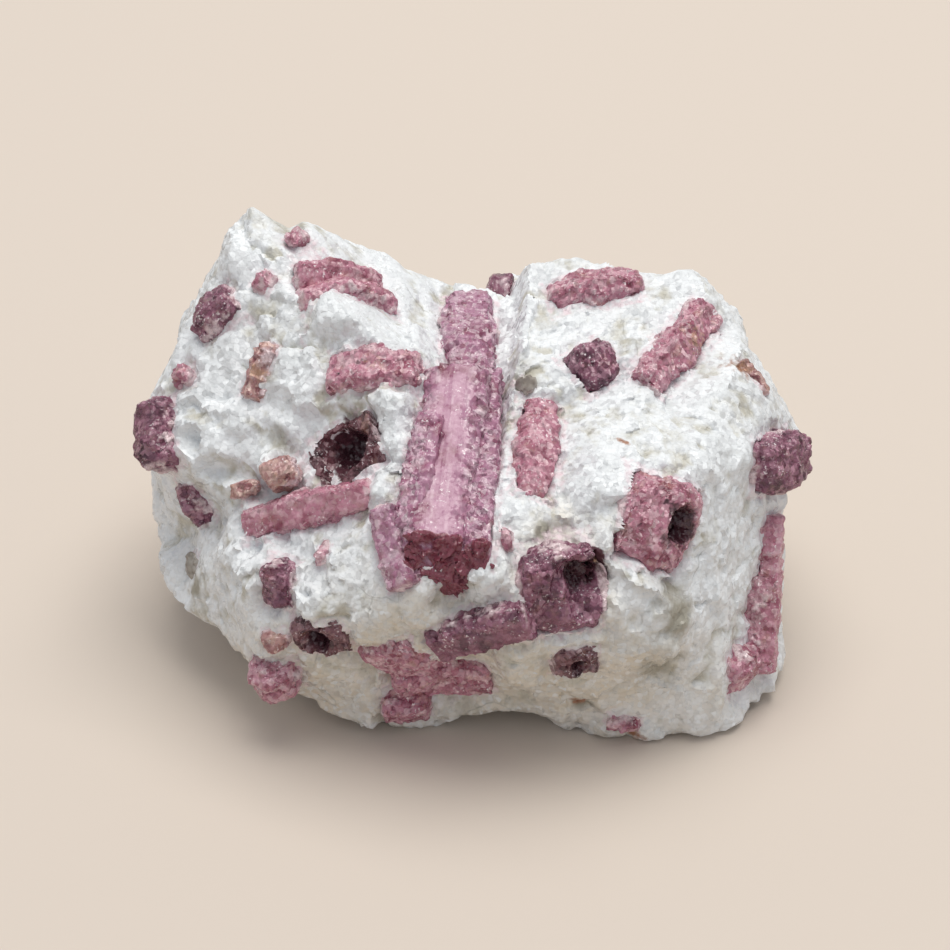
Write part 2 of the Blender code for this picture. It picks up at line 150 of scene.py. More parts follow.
# The finer chips of the albite, its cleavage faces and its sugary grains: width, height and sharpness.
FINE_CHIPS = (
    (4.4, 0.42, 70),
    (1.9, 0.25, 60),
    (0.9, 0.14, 50),
)
FRINGE = 0.7  # how far the pink beside a crystal reaches
GROOVE = 0.45  # how deep the rock is worn along a crystal's edge
GROOVE_WIDTH = 0.55
SOCKET_EDGE = (0.5, 1.0)  # how far inside a crystal's outline its socket starts, and how fast it deepens
SOCKET_FLOOR = 1.2  # how far below a crystal's middle line its socket's floor lies
# One seed is scattered in each cell of space: where in the cell it lies, and a height.
TABLE_CELLS = 32  # how many cells there are each way before the seeds repeat
TABLE = np.random.default_rng(11).random((TABLE_CELLS, TABLE_CELLS, TABLE_CELLS, 4))

# ---------------------------------------------------------------- stains and painted shade in the albite
# Each patch is a direction (bearing and rise), its spread in degrees and its strength.
GREY_QUARTZ_AND_SHADE = (
    # The first lies in the hollow beside the main prism's foot: smoky quartz with painted shade.
    (-72, 16, 3.5, 1.0),
    (-50, -2, 6.0, 0.9),
    (-52, -15, 6.5, 0.8),
    (-64, -27, 2.6, 1.0),
    (-156, -13, 3.5, 0.9),
    (-112, 24, 2.5, 0.8),
    (-154, 24, 6.0, 0.6),
    (60, -2, 6.0, 0.7),
    (140, 20, 5.0, 0.6),
)
# Painted shade low on the sides, warm beige as though lit back from the floor.
LOW_SHADE_PATCHES = (
    (-100, -14, 30, 0.85),
    (-60, -18, 24, 0.75),
    (-66, 15, 9, 0.7),
    (-132, -26, 20, 0.6),
    (100, -30, 30, 0.6),
    (0, -30, 24, 0.5),
)
RUST_SPOTS = (
    (-62, 10, 1.4, 1.0),
    (-65, -26, 2.0, 0.8),
    (-54, -31, 2.2, 0.6),
    (-2, 24, 3.0, 0.7),
    (-168, 33, 2.6, 0.7),
    (-40, 30, 1.2, 0.8),
    (70, 4, 2.6, 0.8),
    (120, -6, 2.4, 0.8),
    (2, 33, 5.0, 0.55),
    (-142, 55, 4.5, 0.5),
)

# ---------------------------------------------------------------- the tourmaline
# A bar of crystal runs over the lump from one direction to another, each a bearing and a rise from the
# heart in degrees. Width, thickness and how proud it stands of the broken surface are in mm. A straight
# bar (1) keeps to the chord between its ends and a following one (0) keeps to the surface; taper is how
# wide its ends are against its middle, slant is how far its start is broken back at the outer side, and
# glassy is how much of its outer face is unbroken prism.
MORE = {"straight": 0.5, "sides": 7, "taper": 0.8, "slant": 0.0, "glassy": 0.0}
Bar = namedtuple("Bar", ["start", "end", "width", "thick", "proud", *MORE], defaults=MORE.values())
# Each crystal has a tone and one or more bars that have grown together.
CRYSTALS = {
    "main_prism": ("lilac", (
        Bar((-98, 10), (-101, 69), 7.6, 6.6, 3.2, straight=1.0, sides=9, taper=1.0, slant=0.9, glassy=1.0),
        Bar((-105, 16), (-107, 48), 4.4, 6.0, 2.3, straight=1.0, sides=6),
        Bar((-89, 12), (-62, 74), 4.4, 6.0, 2.7, straight=1.0, sides=6, slant=0.6),
        Bar((-92, 66), (90, 54), 6.6, 5.5, 1.2),
        Bar((-103, 6), (-113, 21), 4.2, 4.4, 1.3, straight=1.0, sides=6, taper=1.0, glassy=0.3),
    )),
    "upper_twin": ("pink", (
        Bar((172, 50), (145, 58), 3.8, 4.2, 1.4, taper=0.7, glassy=0.3),
        Bar((180, 48), (154, 63), 3.8, 4.2, 1.2, glassy=0.3),
    )),
    "brown_prism": ("pink", (Bar((-158, 43), (-124, 62), 5.6, 5.0, 1.2, straight=0.7),)),
    "saddle_blade": ("plum", (Bar((78, 37), (76, 47), 3.2, 4.8, 3.0, sides=5, glassy=0.7),)),
    "peak_chip": ("pink", (Bar((162, 50), (151, 49), 1.8, 2.4, 0.7, sides=5, taper=0.6),)),
    "dome_prism": ("pink", (
        Bar((-42, 51), (-73, 22), 5.6, 4.6, 0.7, straight=0.7, sides=6, taper=0.6, glassy=0.2),
    )),
    "dark_rosette": ("plum", (Bar((-19, 49), (-2, 43), 6.4, 5.0, 0.5, taper=0.7),)),
    "brown_rod": ("pink", (Bar((-16, 35), (15, 30), 5.0, 4.6, 0.7, sides=6),)),
    "crest_rod": ("pink", (Bar((39, 57), (27, 39), 5.6, 4.6, 1.3, sides=6, taper=0.6),)),
    "slant_prism": ("pink", (
        Bar((-149, 4), (-119, 23), 4.6, 4.4, 1.0, straight=0.8, sides=6, taper=0.7, glassy=0.4),
    )),
    "cavity_crystal": ("maroon", (Bar((-143, 20), (-127, 38), 7.4, 6.0, 0.7, straight=0.2, sides=8),)),
    "cavity_knob": ("brown", (Bar((-148, 15), (-145, 21), 3.8, 3.8, 1.1, sides=6),)),
    "left_fleck": ("brown", (Bar((-155, 9), (-150, 13), 2.2, 3.0, 0.7, sides=5),)),
    "ledge_cluster": ("plum", (Bar((-136, -1), (-129, 0), 5.6, 4.8, 0.7),)),
    "ledge_fleck": ("pink", (Bar((-127, 7), (-124, 7), 2.2, 3.0, 0.7, sides=5),)),
    "dark_eye": ("maroon", (Bar((-128, -10), (-116, -8), 5.2, 5.0, 0.6, sides=8),)),
    "low_fleck": ("brown", (Bar((-133, -11), (-128, -10), 2.6, 3.0, 0.8, sides=5),)),
    "low_knob": ("pink", (Bar((-136, -20), (-127, -20), 5.4, 5.6, 2.6),)),
    "front_cluster": ("pink", (
        Bar((-110, -8), (-100, -24), 7.8, 5.0, 0.8),
        Bar((-109, -25), (-84, -23), 6.4, 4.8, 1.0),
        Bar((-112, -31), (-100, -32), 4.4, 4.4, 0.9),
    )),
    "front_rod": ("plum", (
        Bar((-98, -8), (-78, 3), 5.0, 4.4, 1.3, straight=0.8, taper=0.85, glassy=0.5),
        Bar((-80, 5), (-62, 5), 10.0, 6.0, 0.7, straight=0.2, sides=8),
    )),
    "front_ring": ("maroon", (Bar((-73, -11), (-63, -11), 4.6, 4.6, 1.0),)),
    "end_on_prism": ("pink", (Bar((-53, 18), (-39, 7), 11.0, 7.0, 0.7, straight=0.2, sides=9),)),
    "right_edge_rod": ("pink", (
        Bar((-15, -1), (-30, -23), 4.2, 5.0, 1.7, straight=0.7, sides=6, glassy=0.4),
        Bar((-30, -21), (-39, -20), 5.0, 4.6, 0.9),
    )),
    "right_knob": ("plum", (Bar((-20, 12), (-4, 5), 7.2, 7.0, 3.0),)),
    "left_knob": ("plum", (Bar((-176, 7), (-170, 15), 8.4, 7.4, 2.5),)),
    "left_knob_tip": ("pink", (Bar((-178, 20), (-177, 23), 2.6, 3.4, 1.4, sides=5),)),
    "left_upper_prism": ("plum", (Bar((174, 27), (173, 38), 5.0, 4.8, 1.3, sides=6),)),
    "left_vein": ("brown", (Bar((-166, 27), (-174, 39), 2.2, 3.4, 0.7, sides=5),)),
    "peak_fleck": ("pink", (Bar((174, 42), (170, 46), 2.0, 3.0, 0.8, sides=5),)),
    "left_low_prism": ("plum", (Bar((-168, 4), (-165, -5), 3.4, 4.0, 0.8, sides=6),)),
    "main_chip": ("pink", (Bar((-82, 19), (-81, 14), 1.6, 2.8, 0.8, sides=5),)),
    "orange_vein": ("brown", (Bar((1, 24), (-3, 17), 2.0, 3.2, 0.6, sides=5),)),
    "foot_fleck": ("pink", (Bar((-59, -29), (-53, -29), 2.2, 3.0, 0.8, sides=5),)),
    "back_prism": ("lilac", (
        Bar((118, 34), (104, 8), 7.4, 6.0, 1.4, straight=0.9, sides=9, taper=0.95, glassy=0.8),
    )),
    "back_rod": ("pink", (Bar((62, 24), (84, 12), 4.2, 4.4, 0.9, sides=6, glassy=0.5),)),
    "back_knob": ("plum", (Bar((64, -12), (72, -16), 5.2, 5.2, 1.4),)),
    "back_low_rod": ("pink", (Bar((128, -8), (104, -20), 4.2, 4.4, 0.9, sides=6, glassy=0.3),)),
    "back_left_knob": ("pink", (Bar((146, 16), (154, 11), 5.4, 5.0, 1.0),)),
    "left_back_rod": ("pink", (Bar((168, -4), (148, -12), 4.0, 4.2, 0.8, sides=6, glassy=0.3),)),
    "right_back_prism": ("pink", (Bar((22, 18), (34, 4), 5.4, 5.0, 0.9),)),
    "right_low_knob": ("plum", (Bar((8, -24), (14, -30), 4.2, 4.4, 1.2),)),
    "under_rod": ("pink", (Bar((-160, -68), (-70, -72), 4.0, 4.4, 0.1, sides=6),)),
}
# Grains of grey quartz are set in the albite in the same way.
QUARTZ = {
    "quartz_grain_saddle": ("quartz", (Bar((-47, 60), (-36, 60), 2.4, 3.0, 0.6, sides=5),)),
    "quartz_grain_left": ("quartz", (Bar((-163, -10), (-160, -14), 2.6, 3.2, 0.6, sides=5),)),
    "quartz_grain_back": ("quartz", (Bar((48, -4), (54, -6), 3.4, 3.6, 0.6, sides=5),)),
}
GROWN = {**CRYSTALS, **QUARTZ}
# Pits in the crystals: the direction of each, its radius and its depth in mm.
PITS = {
    "cavity_crystal": ((-136, 30), 3.0, 3.4),
    "dark_eye": ((-122, -9), 2.0, 2.4),
    "front_rod": ((-66, 8), 2.2, 2.4),
    "front_ring": ((-68, -11), 1.3, 1.8),
    "end_on_prism": ((-44, 12), 2.7, 2.8),
}
PIT_RIM = 0.6  # how high above the broken surface a pit's rim lies
PIT_FLOOR = 0.4  # how wide a pit's floor is against its rim
PIT_FLARE = 1.6  # how steeply a pit opens above its rim
PIT_WARP = (0.5, 2.6)  # how uneven a pit's rim is against its radius, and how long that unevenness is in mm
PIT_CRUMBS = (0.9, 1.5, 60)  # the height, width and sharpness of the broken crystal on a pit's floor
PIT_REACH = (1.1, 3)  # how far out against its radius, and down against its depth, a pit's colour goes
PIT_LINING = 3  # how fast the rock in a pit takes the crystal's colour
PIT_WALL = (0.4, 1.2)  # how thick the crystal is beside and under a pit, where rock lies under it
CRUMBLE = 0.13  # how uneven a crystal's sides are, against its width
CRUMBLE_SIZE = 0.45  # how long that unevenness is, against its width
RAGGED = 1.3  # how much more uneven a bar that follows the surface is than a straight one
BLUNT = 0.5  # how far a crystal's outline is filled out from an ellipse (1) towards a box (0)
BARED = 0.33  # how far up a crystal the rock beside it stays, from its middle line, against its thickness
RAGGED_EDGE = 0.17  # how unevenly it stays
RAGGED_SIZE = 1.4  # how long that unevenness is
BROKEN_BACK = 2.2  # how wide the rock has broken away beside a crystal that it covered
RINGS = 3  # the places along a bar that its middle line is worked out at
SLANT_FOOT = 0.8  # how far below the middle line a broken end stays slanted
END_DEPTH = 0.8  # over what length the breakage fades out behind a broken end's plane
BREAKAGE = (1.6, 1.4, 0.7)  # how sure it is at the start, at the far end, and the most that it is there
FAR_BREAKAGE_SIZE = 1.5  # how long its unevenness at the far end is
END_ROUNDING = 0.5  # how far the ends of an unbroken prism are rounded
EDGE_SOFTNESS = 2  # how many times the outline's neighbouring points are blended, to round its edges
# The grains that a crystal crumbles into: width, height and sharpness.
GRAINS = (
    (2.8, 0.30, 70),
    (1.3, 0.22, 60),
    (0.7, 0.20, 40),
)
FACE_SMOOTHNESS = 0.9  # how much of its grain the unbroken prism loses
STRIA = 0.65  # how wide the lengthwise ridges on unbroken prism are
STRIA_RELIEF = 0.28
STRIA_DRIFT = 0.03  # how fast they change along it, against across it
FACE_SHARE = (1.7, 4.2)  # how surely the middle of a prism's face is unbroken, and how fast that falls
FACE_WAVE = (0.8, 2.2)  # how far and over what length the edge of its unbroken part wanders
SPARKLE_ANGLE = math.radians(32)  # faces that meet at more than this show a sharp edge


def unit(bearing, rise):
    """The direction at a bearing and a rise, both in degrees."""
    b, r = math.radians(bearing), math.radians(rise)
    return np.array((math.cos(b) * math.cos(r), math.sin(b) * math.cos(r), math.sin(r)))


def chunk_reach(rays, planes):
    """How far each ray from the heart goes before it leaves a chunk: the least of its distances to the
    planes, blended so that the edges between planes are rounded."""
    reach = np.full((len(planes), len(rays)), FAR)
    for row, (bearing, rise, through) in zip(reach, planes):
        normal = unit(bearing, rise)
        facing = rays @ normal
        ahead = facing > 1e-3  # the others run along the plane or away from it
        row[ahead] = np.minimum(FAR, (np.array(through) - HEART) @ normal / facing[ahead])
    nearest = reach.min(axis=0)
    return nearest - EDGE_ROUNDING * np.log(np.exp((nearest - reach) / EDGE_ROUNDING).sum(axis=0))


def bells(rays, patches):
    """The sum of bell-shaped heights round their directions, each height times exp(-(angle / spread)^2)."""
    total = np.zeros(len(rays))
    for bearing, rise, spread, height in patches:
        apart = np.degrees(np.arccos(np.clip(rays @ unit(bearing, rise), -1, 1)))
        total += height * np.exp(-((apart / spread) ** 2))
    return total


def lump_reach(rays):
    """How far the lump's broad shape lies from the heart along each ray: the most of the chunks' reaches,
    blended in the valleys, and the swellings and hollows on it."""
    reach = np.array([chunk_reach(rays, planes) for planes in CHUNKS.values()])
    furthest = reach.max(axis=0)
    blend = np.exp((reach - furthest) / VALLEY_ROUNDING).sum(axis=0)
    return furthest + VALLEY_ROUNDING * np.log(blend) + bells(rays, RELIEF)


def cells(points, size):
    """The cell of space that holds each point, and where in it the point lies from 0 to 1."""
    place = points / size
    cell = np.floor(place).astype(int)
    return cell, place - cell


def chips(points, size, sharpness=CHIP_SHARPNESS):
    """Fracture facets: the tilted planes that belong to the seeds scattered one to a cell, each point
    taking mostly its nearest seed's plane, as a height in cells."""
    cell, place = cells(points, size)
    share = np.zeros(len(points))
    total = np.zeros(len(points))
    for step in itertools.product((-1, 0, 1), repeat=3):
        seed = TABLE[tuple(((cell + step) % TABLE_CELLS).T)]
        away = place - step - seed[:, :3]
        near = np.exp(-sharpness * (away**2).sum(axis=1))
        share += near
        total += near * (seed[:, 3] - 0.5 + (away * (2 * seed[:, [1, 2, 0]] - 1)).sum(axis=1))
    return total / share


def swells(points, size):
    """Soft unevenness from -0.5 to 0.5: the seeds' heights at a cell's eight corners, blended smoothly."""
    cell, place = cells(points, size)
    ease = place * place * (3 - 2 * place)
    total = np.zeros(len(points))
    for corner in itertools.product((0, 1), repeat=3):
        share = np.where(np.array(corner), ease, 1 - ease).prod(axis=1)
        total += share * TABLE[tuple(((cell + corner) % TABLE_CELLS).T)][:, 3]
    return total - 0.5


def surface_reach(rays):
    """How far the broken surface lies from the heart along each ray: the broad shape with fracture chips
    and soft unevenness on it, cut flat where it would pass below the ground."""
    reach = lump_reach(rays)
    points = HEART + rays * reach[:, None]
    reach += CHIP_RELIEF * chips(points, CHIP) + SWELL_RELIEF * 2 * swells(points, SWELL)
    return above_ground(rays, reach)


def above_ground(rays, reach):
    """The reach cut short where its ray meets the ground."""
    down = rays[:, 2] < -1e-6
    reach[down] = np.minimum(reach[down], HEART[2] / -rays[down, 2])
    return reach


def bar_axis(bar):
    """The middle line of a bar, ring by ring: between the broken surface and the chord through its ends,
    as straight as the bar is, and as deep as leaves the bar proud. Then its directions: along it, and
    outwards and sideways at each ring."""
    along = np.linspace(0, 1, RINGS)[:, None]
    out = unit(*bar.start) * (1 - along) + unit(*bar.end) * along
    out /= np.linalg.norm(out, axis=1, keepdims=True)
    surface = HEART + out * surface_reach(out)[:, None]
    chord = surface[0] + (surface[-1] - surface[0]) * along
    axis = surface + (chord - surface) * bar.straight + out * (bar.proud - bar.thick / 2)
    forward = axis[-1] - axis[0]
    forward /= np.linalg.norm(forward)
    up = out - (out @ forward)[:, None] * forward
    up /= np.linalg.norm(up, axis=1, keepdims=True)
    return axis, forward, up, np.cross(forward, up)


Placed = namedtuple("Placed", "over across outside run beyond near")


def place_against(bar, points):
    """Where points lie against a bar, in mm: how far over its middle line, how far across from it, how far
    outside its outline as it is seen from above, how far along it, how far past its nearer end, and whether
    they are near it at all."""
    axis, forward, up, side = bar_axis(bar)
    length = np.linalg.norm(axis[-1] - axis[0])
    run = (points - axis[0]) @ forward
    part = np.clip(run / length, 0, 1) * (RINGS - 1)
    ring = np.minimum(part.astype(int), RINGS - 2)
    share = (part - ring)[:, None]
    offset = points - (axis[ring] * (1 - share) + axis[ring + 1] * share)
    across = (offset * side[ring]).sum(axis=1)
    beyond = np.abs(run - length / 2) - length / 2
    outside = np.maximum(np.abs(across) - bar.width / 2, beyond)
    near = (offset**2).sum(axis=1) < (bar.width + bar.thick + BROKEN_BACK) ** 2
    return Placed((offset * up[ring]).sum(axis=1), across, outside, run, beyond, near)


def rock_surface(rays, relief):
    """The rock's points along the rays, how far each is outside the nearest crystal's outline, how deep it
    lies between the fine chips, and how deep in a pit. The rock has broken away over the bars down to a
    ragged edge, then carries the fine chips, and has a groove along each crystal's edge, a socket under it
    and a hole under each pit."""
    bars = [bar for _, grown in GROWN.values() for bar in grown]
    reach = surface_reach(rays)
    for bar in bars:
        at = place_against(bar, HEART + rays * reach[:, None])
        fade = np.clip(1 - at.outside / BROKEN_BACK, 0, 1)
        edge = (BARED + RAGGED_EDGE * 2 * swells(HEART + rays * reach[:, None], RAGGED_SIZE)) * bar.thick
        reach -= np.maximum(at.over - edge, 0) * fade * at.near
    points = HEART + rays * reach[:, None]
    fine = sum(height * chips(points, size, sharpness) for size, height, sharpness in FINE_CHIPS)
    reach = above_ground(rays, reach + relief * fine)
    outline = np.full(len(rays), FAR)
    sunk = np.zeros(len(rays))
    start, slope = SOCKET_EDGE
    for bar in bars:
        at = place_against(bar, HEART + rays * reach[:, None])
        inside = np.clip((-at.outside - start) / slope, 0, 1)
        socket = np.maximum(at.over + SOCKET_FLOOR, 0) * inside
        groove = GROOVE * np.exp(-((at.outside / GROOVE_WIDTH) ** 2))
        sunk = np.maximum(sunk, np.maximum(socket, groove) * at.near)
        outline = np.where(at.near, np.minimum(outline, at.outside), outline)
    points = HEART + rays * (reach - sunk)[:, None]
    beside, under = PIT_WALL
    pit = np.zeros(len(rays))
    for direction, radius, depth in PITS.values():
        points, deep = sink_pit(points, direction, radius + beside, depth + under)
        pit = np.maximum(pit, deep)
    return points, outline, -fine, pit


def cube_sphere(n):
    """Unit rays through a grid on each of a cube's six faces, n cells across at even angles, and the quads
    that join them. Points where faces meet are made one."""
    steps = np.tan(np.linspace(-np.pi / 4, np.pi / 4, n + 1))
    a, b = np.meshgrid(steps, steps, indexing="ij")
    one = np.ones_like(a)
    faces = [(one, a, b), (-one, b, a), (b, one, a), (a, -one, b), (a, b, one), (b, a, -one)]
    grid = np.array([np.stack(f, axis=-1).reshape(-1, 3) for f in faces])
    corner = np.arange((n + 1) ** 2).reshape(n + 1, n + 1)
    quad = np.stack([corner[:-1, :-1], corner[1:, :-1], corner[1:, 1:], corner[:-1, 1:]], axis=-1)
    quads = np.concatenate([quad.reshape(-1, 4) + i * (n + 1) ** 2 for i in range(6)])
    points = grid.reshape(-1, 3)
    _, first, index = np.unique(np.round(points, 6), axis=0, return_index=True, return_inverse=True)
    points = points[first]
    return points / np.linalg.norm(points, axis=1, keepdims=True), index.reshape(-1)[quads]


def broken_end(bar, at):
    """How surely places are on an end where a slanted bar broke off, from 0 to 1: they lie near the
    slanted plane through its start, or near its far end."""
    sure, far_sure, far_most = BREAKAGE
    start = np.clip(sure - (at.run - bar.slant * np.maximum(at.over, -SLANT_FOOT)) / END_DEPTH, 0, 1)
    uneven = swells(np.stack([at.across, at.over, at.run], axis=1), FAR_BREAKAGE_SIZE) * 2
    far = np.clip(far_sure + (at.beyond + uneven) / END_DEPTH, 0, 1)
    return np.maximum(start, far_most * far) * (bar.slant > 0)


def glassiness(bar, at):
    """How unbroken a bar's outer face is, from 0 to 1: most along its middle, and not at a broken end."""
    wander, length = FACE_WAVE
    wavy = at.across + wander * swells(np.stack([at.run, at.over, 0 * at.run], axis=1), length)
    middle, fall = FACE_SHARE
    face = np.clip(middle - fall * np.abs(wavy) / bar.width, 0, 1)
    return bar.glassy * face * (1 - broken_end(bar, at))


def many_sided(bar, columns):
    """The outline of a bar's cross-section, as distances sideways and outwards at each column: straight
    sides between corners on a blunt ellipse, then rounded a little."""
    corner = (np.arange(bar.sides + 1) + 0.5) * 2 * math.pi / bar.sides + math.pi / 2
    place = np.arange(columns) * bar.sides / columns
    outline = []
    for part, half in ((np.cos(corner), bar.width / 2), (np.sin(corner), bar.thick / 2)):
        blunt = np.sign(part) * np.abs(part) ** BLUNT * half
        line = np.interp(place, np.arange(bar.sides + 1), blunt)
        for _ in range(EDGE_SOFTNESS):
            line = (np.roll(line, 1) + 2 * line + np.roll(line, -1)) / 4
        outline.append(line)
    return outline


def bar_surface(bar, step):
    """The skin of a bar of crystal on a grid of rows along it and columns round it: a many-sided outline
    whose size follows the bar's taper and closes in a quarter circle at each end. Gives the points, the
    direction in which each is pushed outwards, and the faces."""
    axis, forward, up, _ = bar_axis(bar)
    length = np.linalg.norm(axis[-1] - axis[0])
    cap = max((1 - bar.taper) * bar.width / 2, END_ROUNDING)
    rows = max(5, round(bar.width / 2 / step))
    quarter = np.linspace(0, math.pi / 2, rows + 1)
    body = np.linspace(cap, length - cap, max(4, round((length - 2 * cap) / step)))[1:-1]
    run = np.concatenate([cap * (1 - np.cos(quarter)), body, length - cap * (1 - np.cos(quarter[::-1]))])
    close = np.concatenate([np.sin(quarter), np.ones(len(body)), np.sin(quarter[::-1])])
    facing = np.concatenate([-np.cos(quarter), np.zeros(len(body)), np.cos(quarter[::-1])])
    part = (run / length)[:, None]
    first, second, third = (1 - 2 * part) * (1 - part), 4 * part * (1 - part), part * (2 * part - 1)
    middle = axis[0] * first + axis[1] * second + axis[2] * third
    out = up[0] * first + up[1] * second + up[2] * third
    out /= np.linalg.norm(out, axis=1, keepdims=True)
    side = np.cross(forward, out)
    columns = max(16, round(math.pi * (bar.width + bar.thick) / 2 / step))
    section = many_sided(bar, columns)
    size = close * (1 - (1 - bar.taper) * np.abs(2 * part[:, 0] - 1))
    spoke = section[0][None, :, None] * side[:, None, :] + section[1][None, :, None] * out[:, None, :]
    push = spoke / np.linalg.norm(spoke, axis=2, keepdims=True) * close[:, None, None]
    push = push + facing[:, None, None] * forward
    grid = middle[:, None] + spoke * size[:, None, None]
    height = np.maximum(section[1], -SLANT_FOOT)
    broken_back = bar.slant * height[None, :] * (size * np.clip(1 - 2 * part[:, 0], 0, 1))[:, None]
    grid += broken_back[:, :, None] * forward
    kept = np.arange(grid[..., 0].size).reshape(grid.shape[:2])
    kept = np.concatenate([kept[0, :1], kept[1:-1].reshape(-1), kept[-1, :1]])
    return grid.reshape(-1, 3)[kept], push.reshape(-1, 3)[kept], tube_faces(len(run) - 2, columns)


def sink_pit(points, direction, radius, depth):
    """Points lowered into a pit along its direction, to a height that falls from the rim to a flat floor,
    and how deep in the pit each is from 0 to 1."""
    out = unit(*direction)
    centre = HEART + out * (surface_reach(out[None])[0] + PIT_RIM)
    away = points - centre
    height = away @ out
    across = np.linalg.norm(away - height[:, None] * out, axis=1)
    warp, length = PIT_WARP
    across = across / (radius * (1 + warp * 2 * swells(points, length)))
    wall = np.clip((1 - across) / (1 - PIT_FLOOR), 0, 1)
    crumbs, size, sharpness = PIT_CRUMBS
    lid = PIT_FLARE * np.maximum(across - 1, 0) + (crumbs * chips(points, size, sharpness) - depth) * wall
    # The pit's line also leaves the lump on its far side, which isn't in the pit.
    furthest, lowest = PIT_REACH
    here = (across < furthest) & (height > -lowest * depth)
    deep = np.clip(-np.minimum(height, lid) / depth, 0, 1) * here
    return points + np.minimum(lid - height, 0)[:, None] * out, deep


def tube_faces(rings, columns):
    """The faces of a tube whose points are one pole, then rings of columns, then the other pole: quads
    between the rings and triangles to the poles."""
    ring = 1 + np.arange(rings - 1)[:, None] * columns
    column = np.arange(columns)[None, :]
    following = (column + 1) % columns
    above = ring + columns
    quads = np.stack([ring + column, above + column, above + following, ring + following], axis=-1)
    column, following = column[0], following[0]
    last = 1 + (rings - 1) * columns
    start = np.stack([np.zeros_like(column), 1 + column, 1 + following], axis=-1)
    end = np.stack([np.full_like(column, last + columns), last + following, last + column], axis=-1)
    return quads.reshape(-1, 4).tolist() + start.tolist() + end.tolist()


def crystal_bar(name, bar, step, relief):
    """One bar's points and faces. Its skin is lowered where it has a pit, then pushed outwards by soft
    unevenness, by the grains that it crumbles into where it is broken, and by ridges where it isn't."""
    points, push, faces = bar_surface(bar, step)
    if name in PITS:
        points, _ = sink_pit(points, *PITS[name])
    at = place_against(bar, points)
    rough = 1 - FACE_SMOOTHNESS * glassiness(bar, at)
    bump = CRUMBLE * bar.width * (RAGGED - bar.straight) * swells(points, CRUMBLE_SIZE * bar.width)
    for size, height, sharpness in GRAINS:
        bump += relief * rough * (1 + broken_end(bar, at)) * height * chips(points, size, sharpness)
    ridge = np.stack([at.across, 0 * at.across + 0.5, at.run * STRIA_DRIFT], axis=1)
    bump += STRIA_RELIEF * (1 - rough) * swells(ridge, STRIA)
    points = points + push * bump[:, None]
    points[:, 2] = np.maximum(points[:, 2], 0)
    return points, faces


# ---------------------------------------------------------------- meshes
def make_piece(name, points, faces):
    """A smooth-shaded mesh object at the origin, with its place in its mesh."""
    mesh = bpy.data.meshes.new(name)
    mesh.from_pydata((points - TO_ORIGIN) * MM, [], faces)
    mesh.validate()
    mesh.shade_smooth()
    mesh.set_sharp_from_angle(angle=SPARKLE_ANGLE)
    made = bpy.data.objects.new(name, mesh)
    bpy.context.scene.collection.objects.link(made)
    return made


def mesh_points(made):
    """A piece's points in mm, before the lump was moved over the origin."""
    flat = np.empty(len(made.data.vertices) * 3)
    made.data.vertices.foreach_get("co", flat)
    return flat.reshape(-1, 3) / MM + TO_ORIGIN


def paint(made, name, values):
    """Stores one number for each point of a piece, for its material to read."""
    layer = made.data.attributes.new(name, "FLOAT", "POINT")
    layer.data.foreach_set("value", values.astype(np.float32))


def drop_loose_bits(mesh):
    """Keeps the largest connected part of a mesh: each point takes the least number among its neighbours'
    until none changes, and the points with the commonest number stay."""
    edges = np.empty(len(mesh.edges) * 2, dtype=int)
    mesh.edges.foreach_get("vertices", edges)
    a, b = edges.reshape(-1, 2).T
    part = np.arange(len(mesh.vertices))
    before = None
    while before is None or (part != before).any():
        before = part.copy()
        np.minimum.at(part, a, before[b])
        np.minimum.at(part, b, before[a])
        part = part[part]
    loose = part != np.bincount(part).argmax()
    if loose.any():
        shape = bmesh.new()
        shape.from_mesh(mesh)
        shape.verts.ensure_lookup_table()
        bmesh.ops.delete(shape, geom=[shape.verts[i] for i in np.flatnonzero(loose)], context="VERTS")
        shape.to_mesh(mesh)
        shape.free()


def unite(bodies):
    """The union of overlapping closed bodies, put in the first of them, without the loose bits that the
    union leaves where two skins nearly coincide."""
    first, *others = bodies
    for other in others:
        joined = first.modifiers.new("Union", "BOOLEAN")
        joined.operation = "UNION"
        joined.solver = "MANIFOLD"
        joined.object = other
    view = bpy.context.evaluated_depsgraph_get()
    view.update()
    mesh = bpy.data.meshes.new_from_object(first.evaluated_get(view))
    first.modifiers.clear()
    first.data = mesh
    drop_loose_bits(mesh)
    for other in others:
        bpy.data.objects.remove(other)
    mesh.shade_smooth()
    mesh.set_sharp_from_angle(angle=SPARKLE_ANGLE)
    return first


def place_piece(made, node, material):
    """Puts a finished piece in the place of the node that it stands for."""
    made.data.materials.clear()
    made.data.materials.append(material)
    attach(made, "root")
    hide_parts(node)


def make_rock(cells_across, relief):
    """The lump of albite: its surface along every ray of a cube wrapped round the heart, with a corner of
    the cube turned to the peak, its stains, and where its painted shade lies."""
    rays, quads = cube_sphere(cells_across)
    turn = Vector((-1, 1, 1)).rotation_difference(Vector(unit(*PEAK)))
    rays = rays @ np.array(turn.to_matrix()).T
    points, outline, hollow, pit = rock_surface(rays, relief)
    rock = make_piece("albite_lump", points, quads.tolist())
    paint(rock, "fringe", np.exp(-((np.maximum(outline, 0) / FRINGE) ** 2)))
    # How deep each point lies between the fine chips, for the painted shade there.
    paint(rock, "hollow", np.clip(0.5 + hollow, 0, 1))
    paint(rock, "pit", np.clip(pit * PIT_LINING, 0, 1))
    paint(rock, "grey", np.clip(bells(rays, GREY_QUARTZ_AND_SHADE), 0, 1))
    # Where the painted shade low on the sides lies.
    paint(rock, "low_shade", np.clip(bells(rays, LOW_SHADE_PATCHES), 0, 1))
    paint(rock, "rust", np.clip(bells(rays, RUST_SPOTS), 0, 1))
    return rock


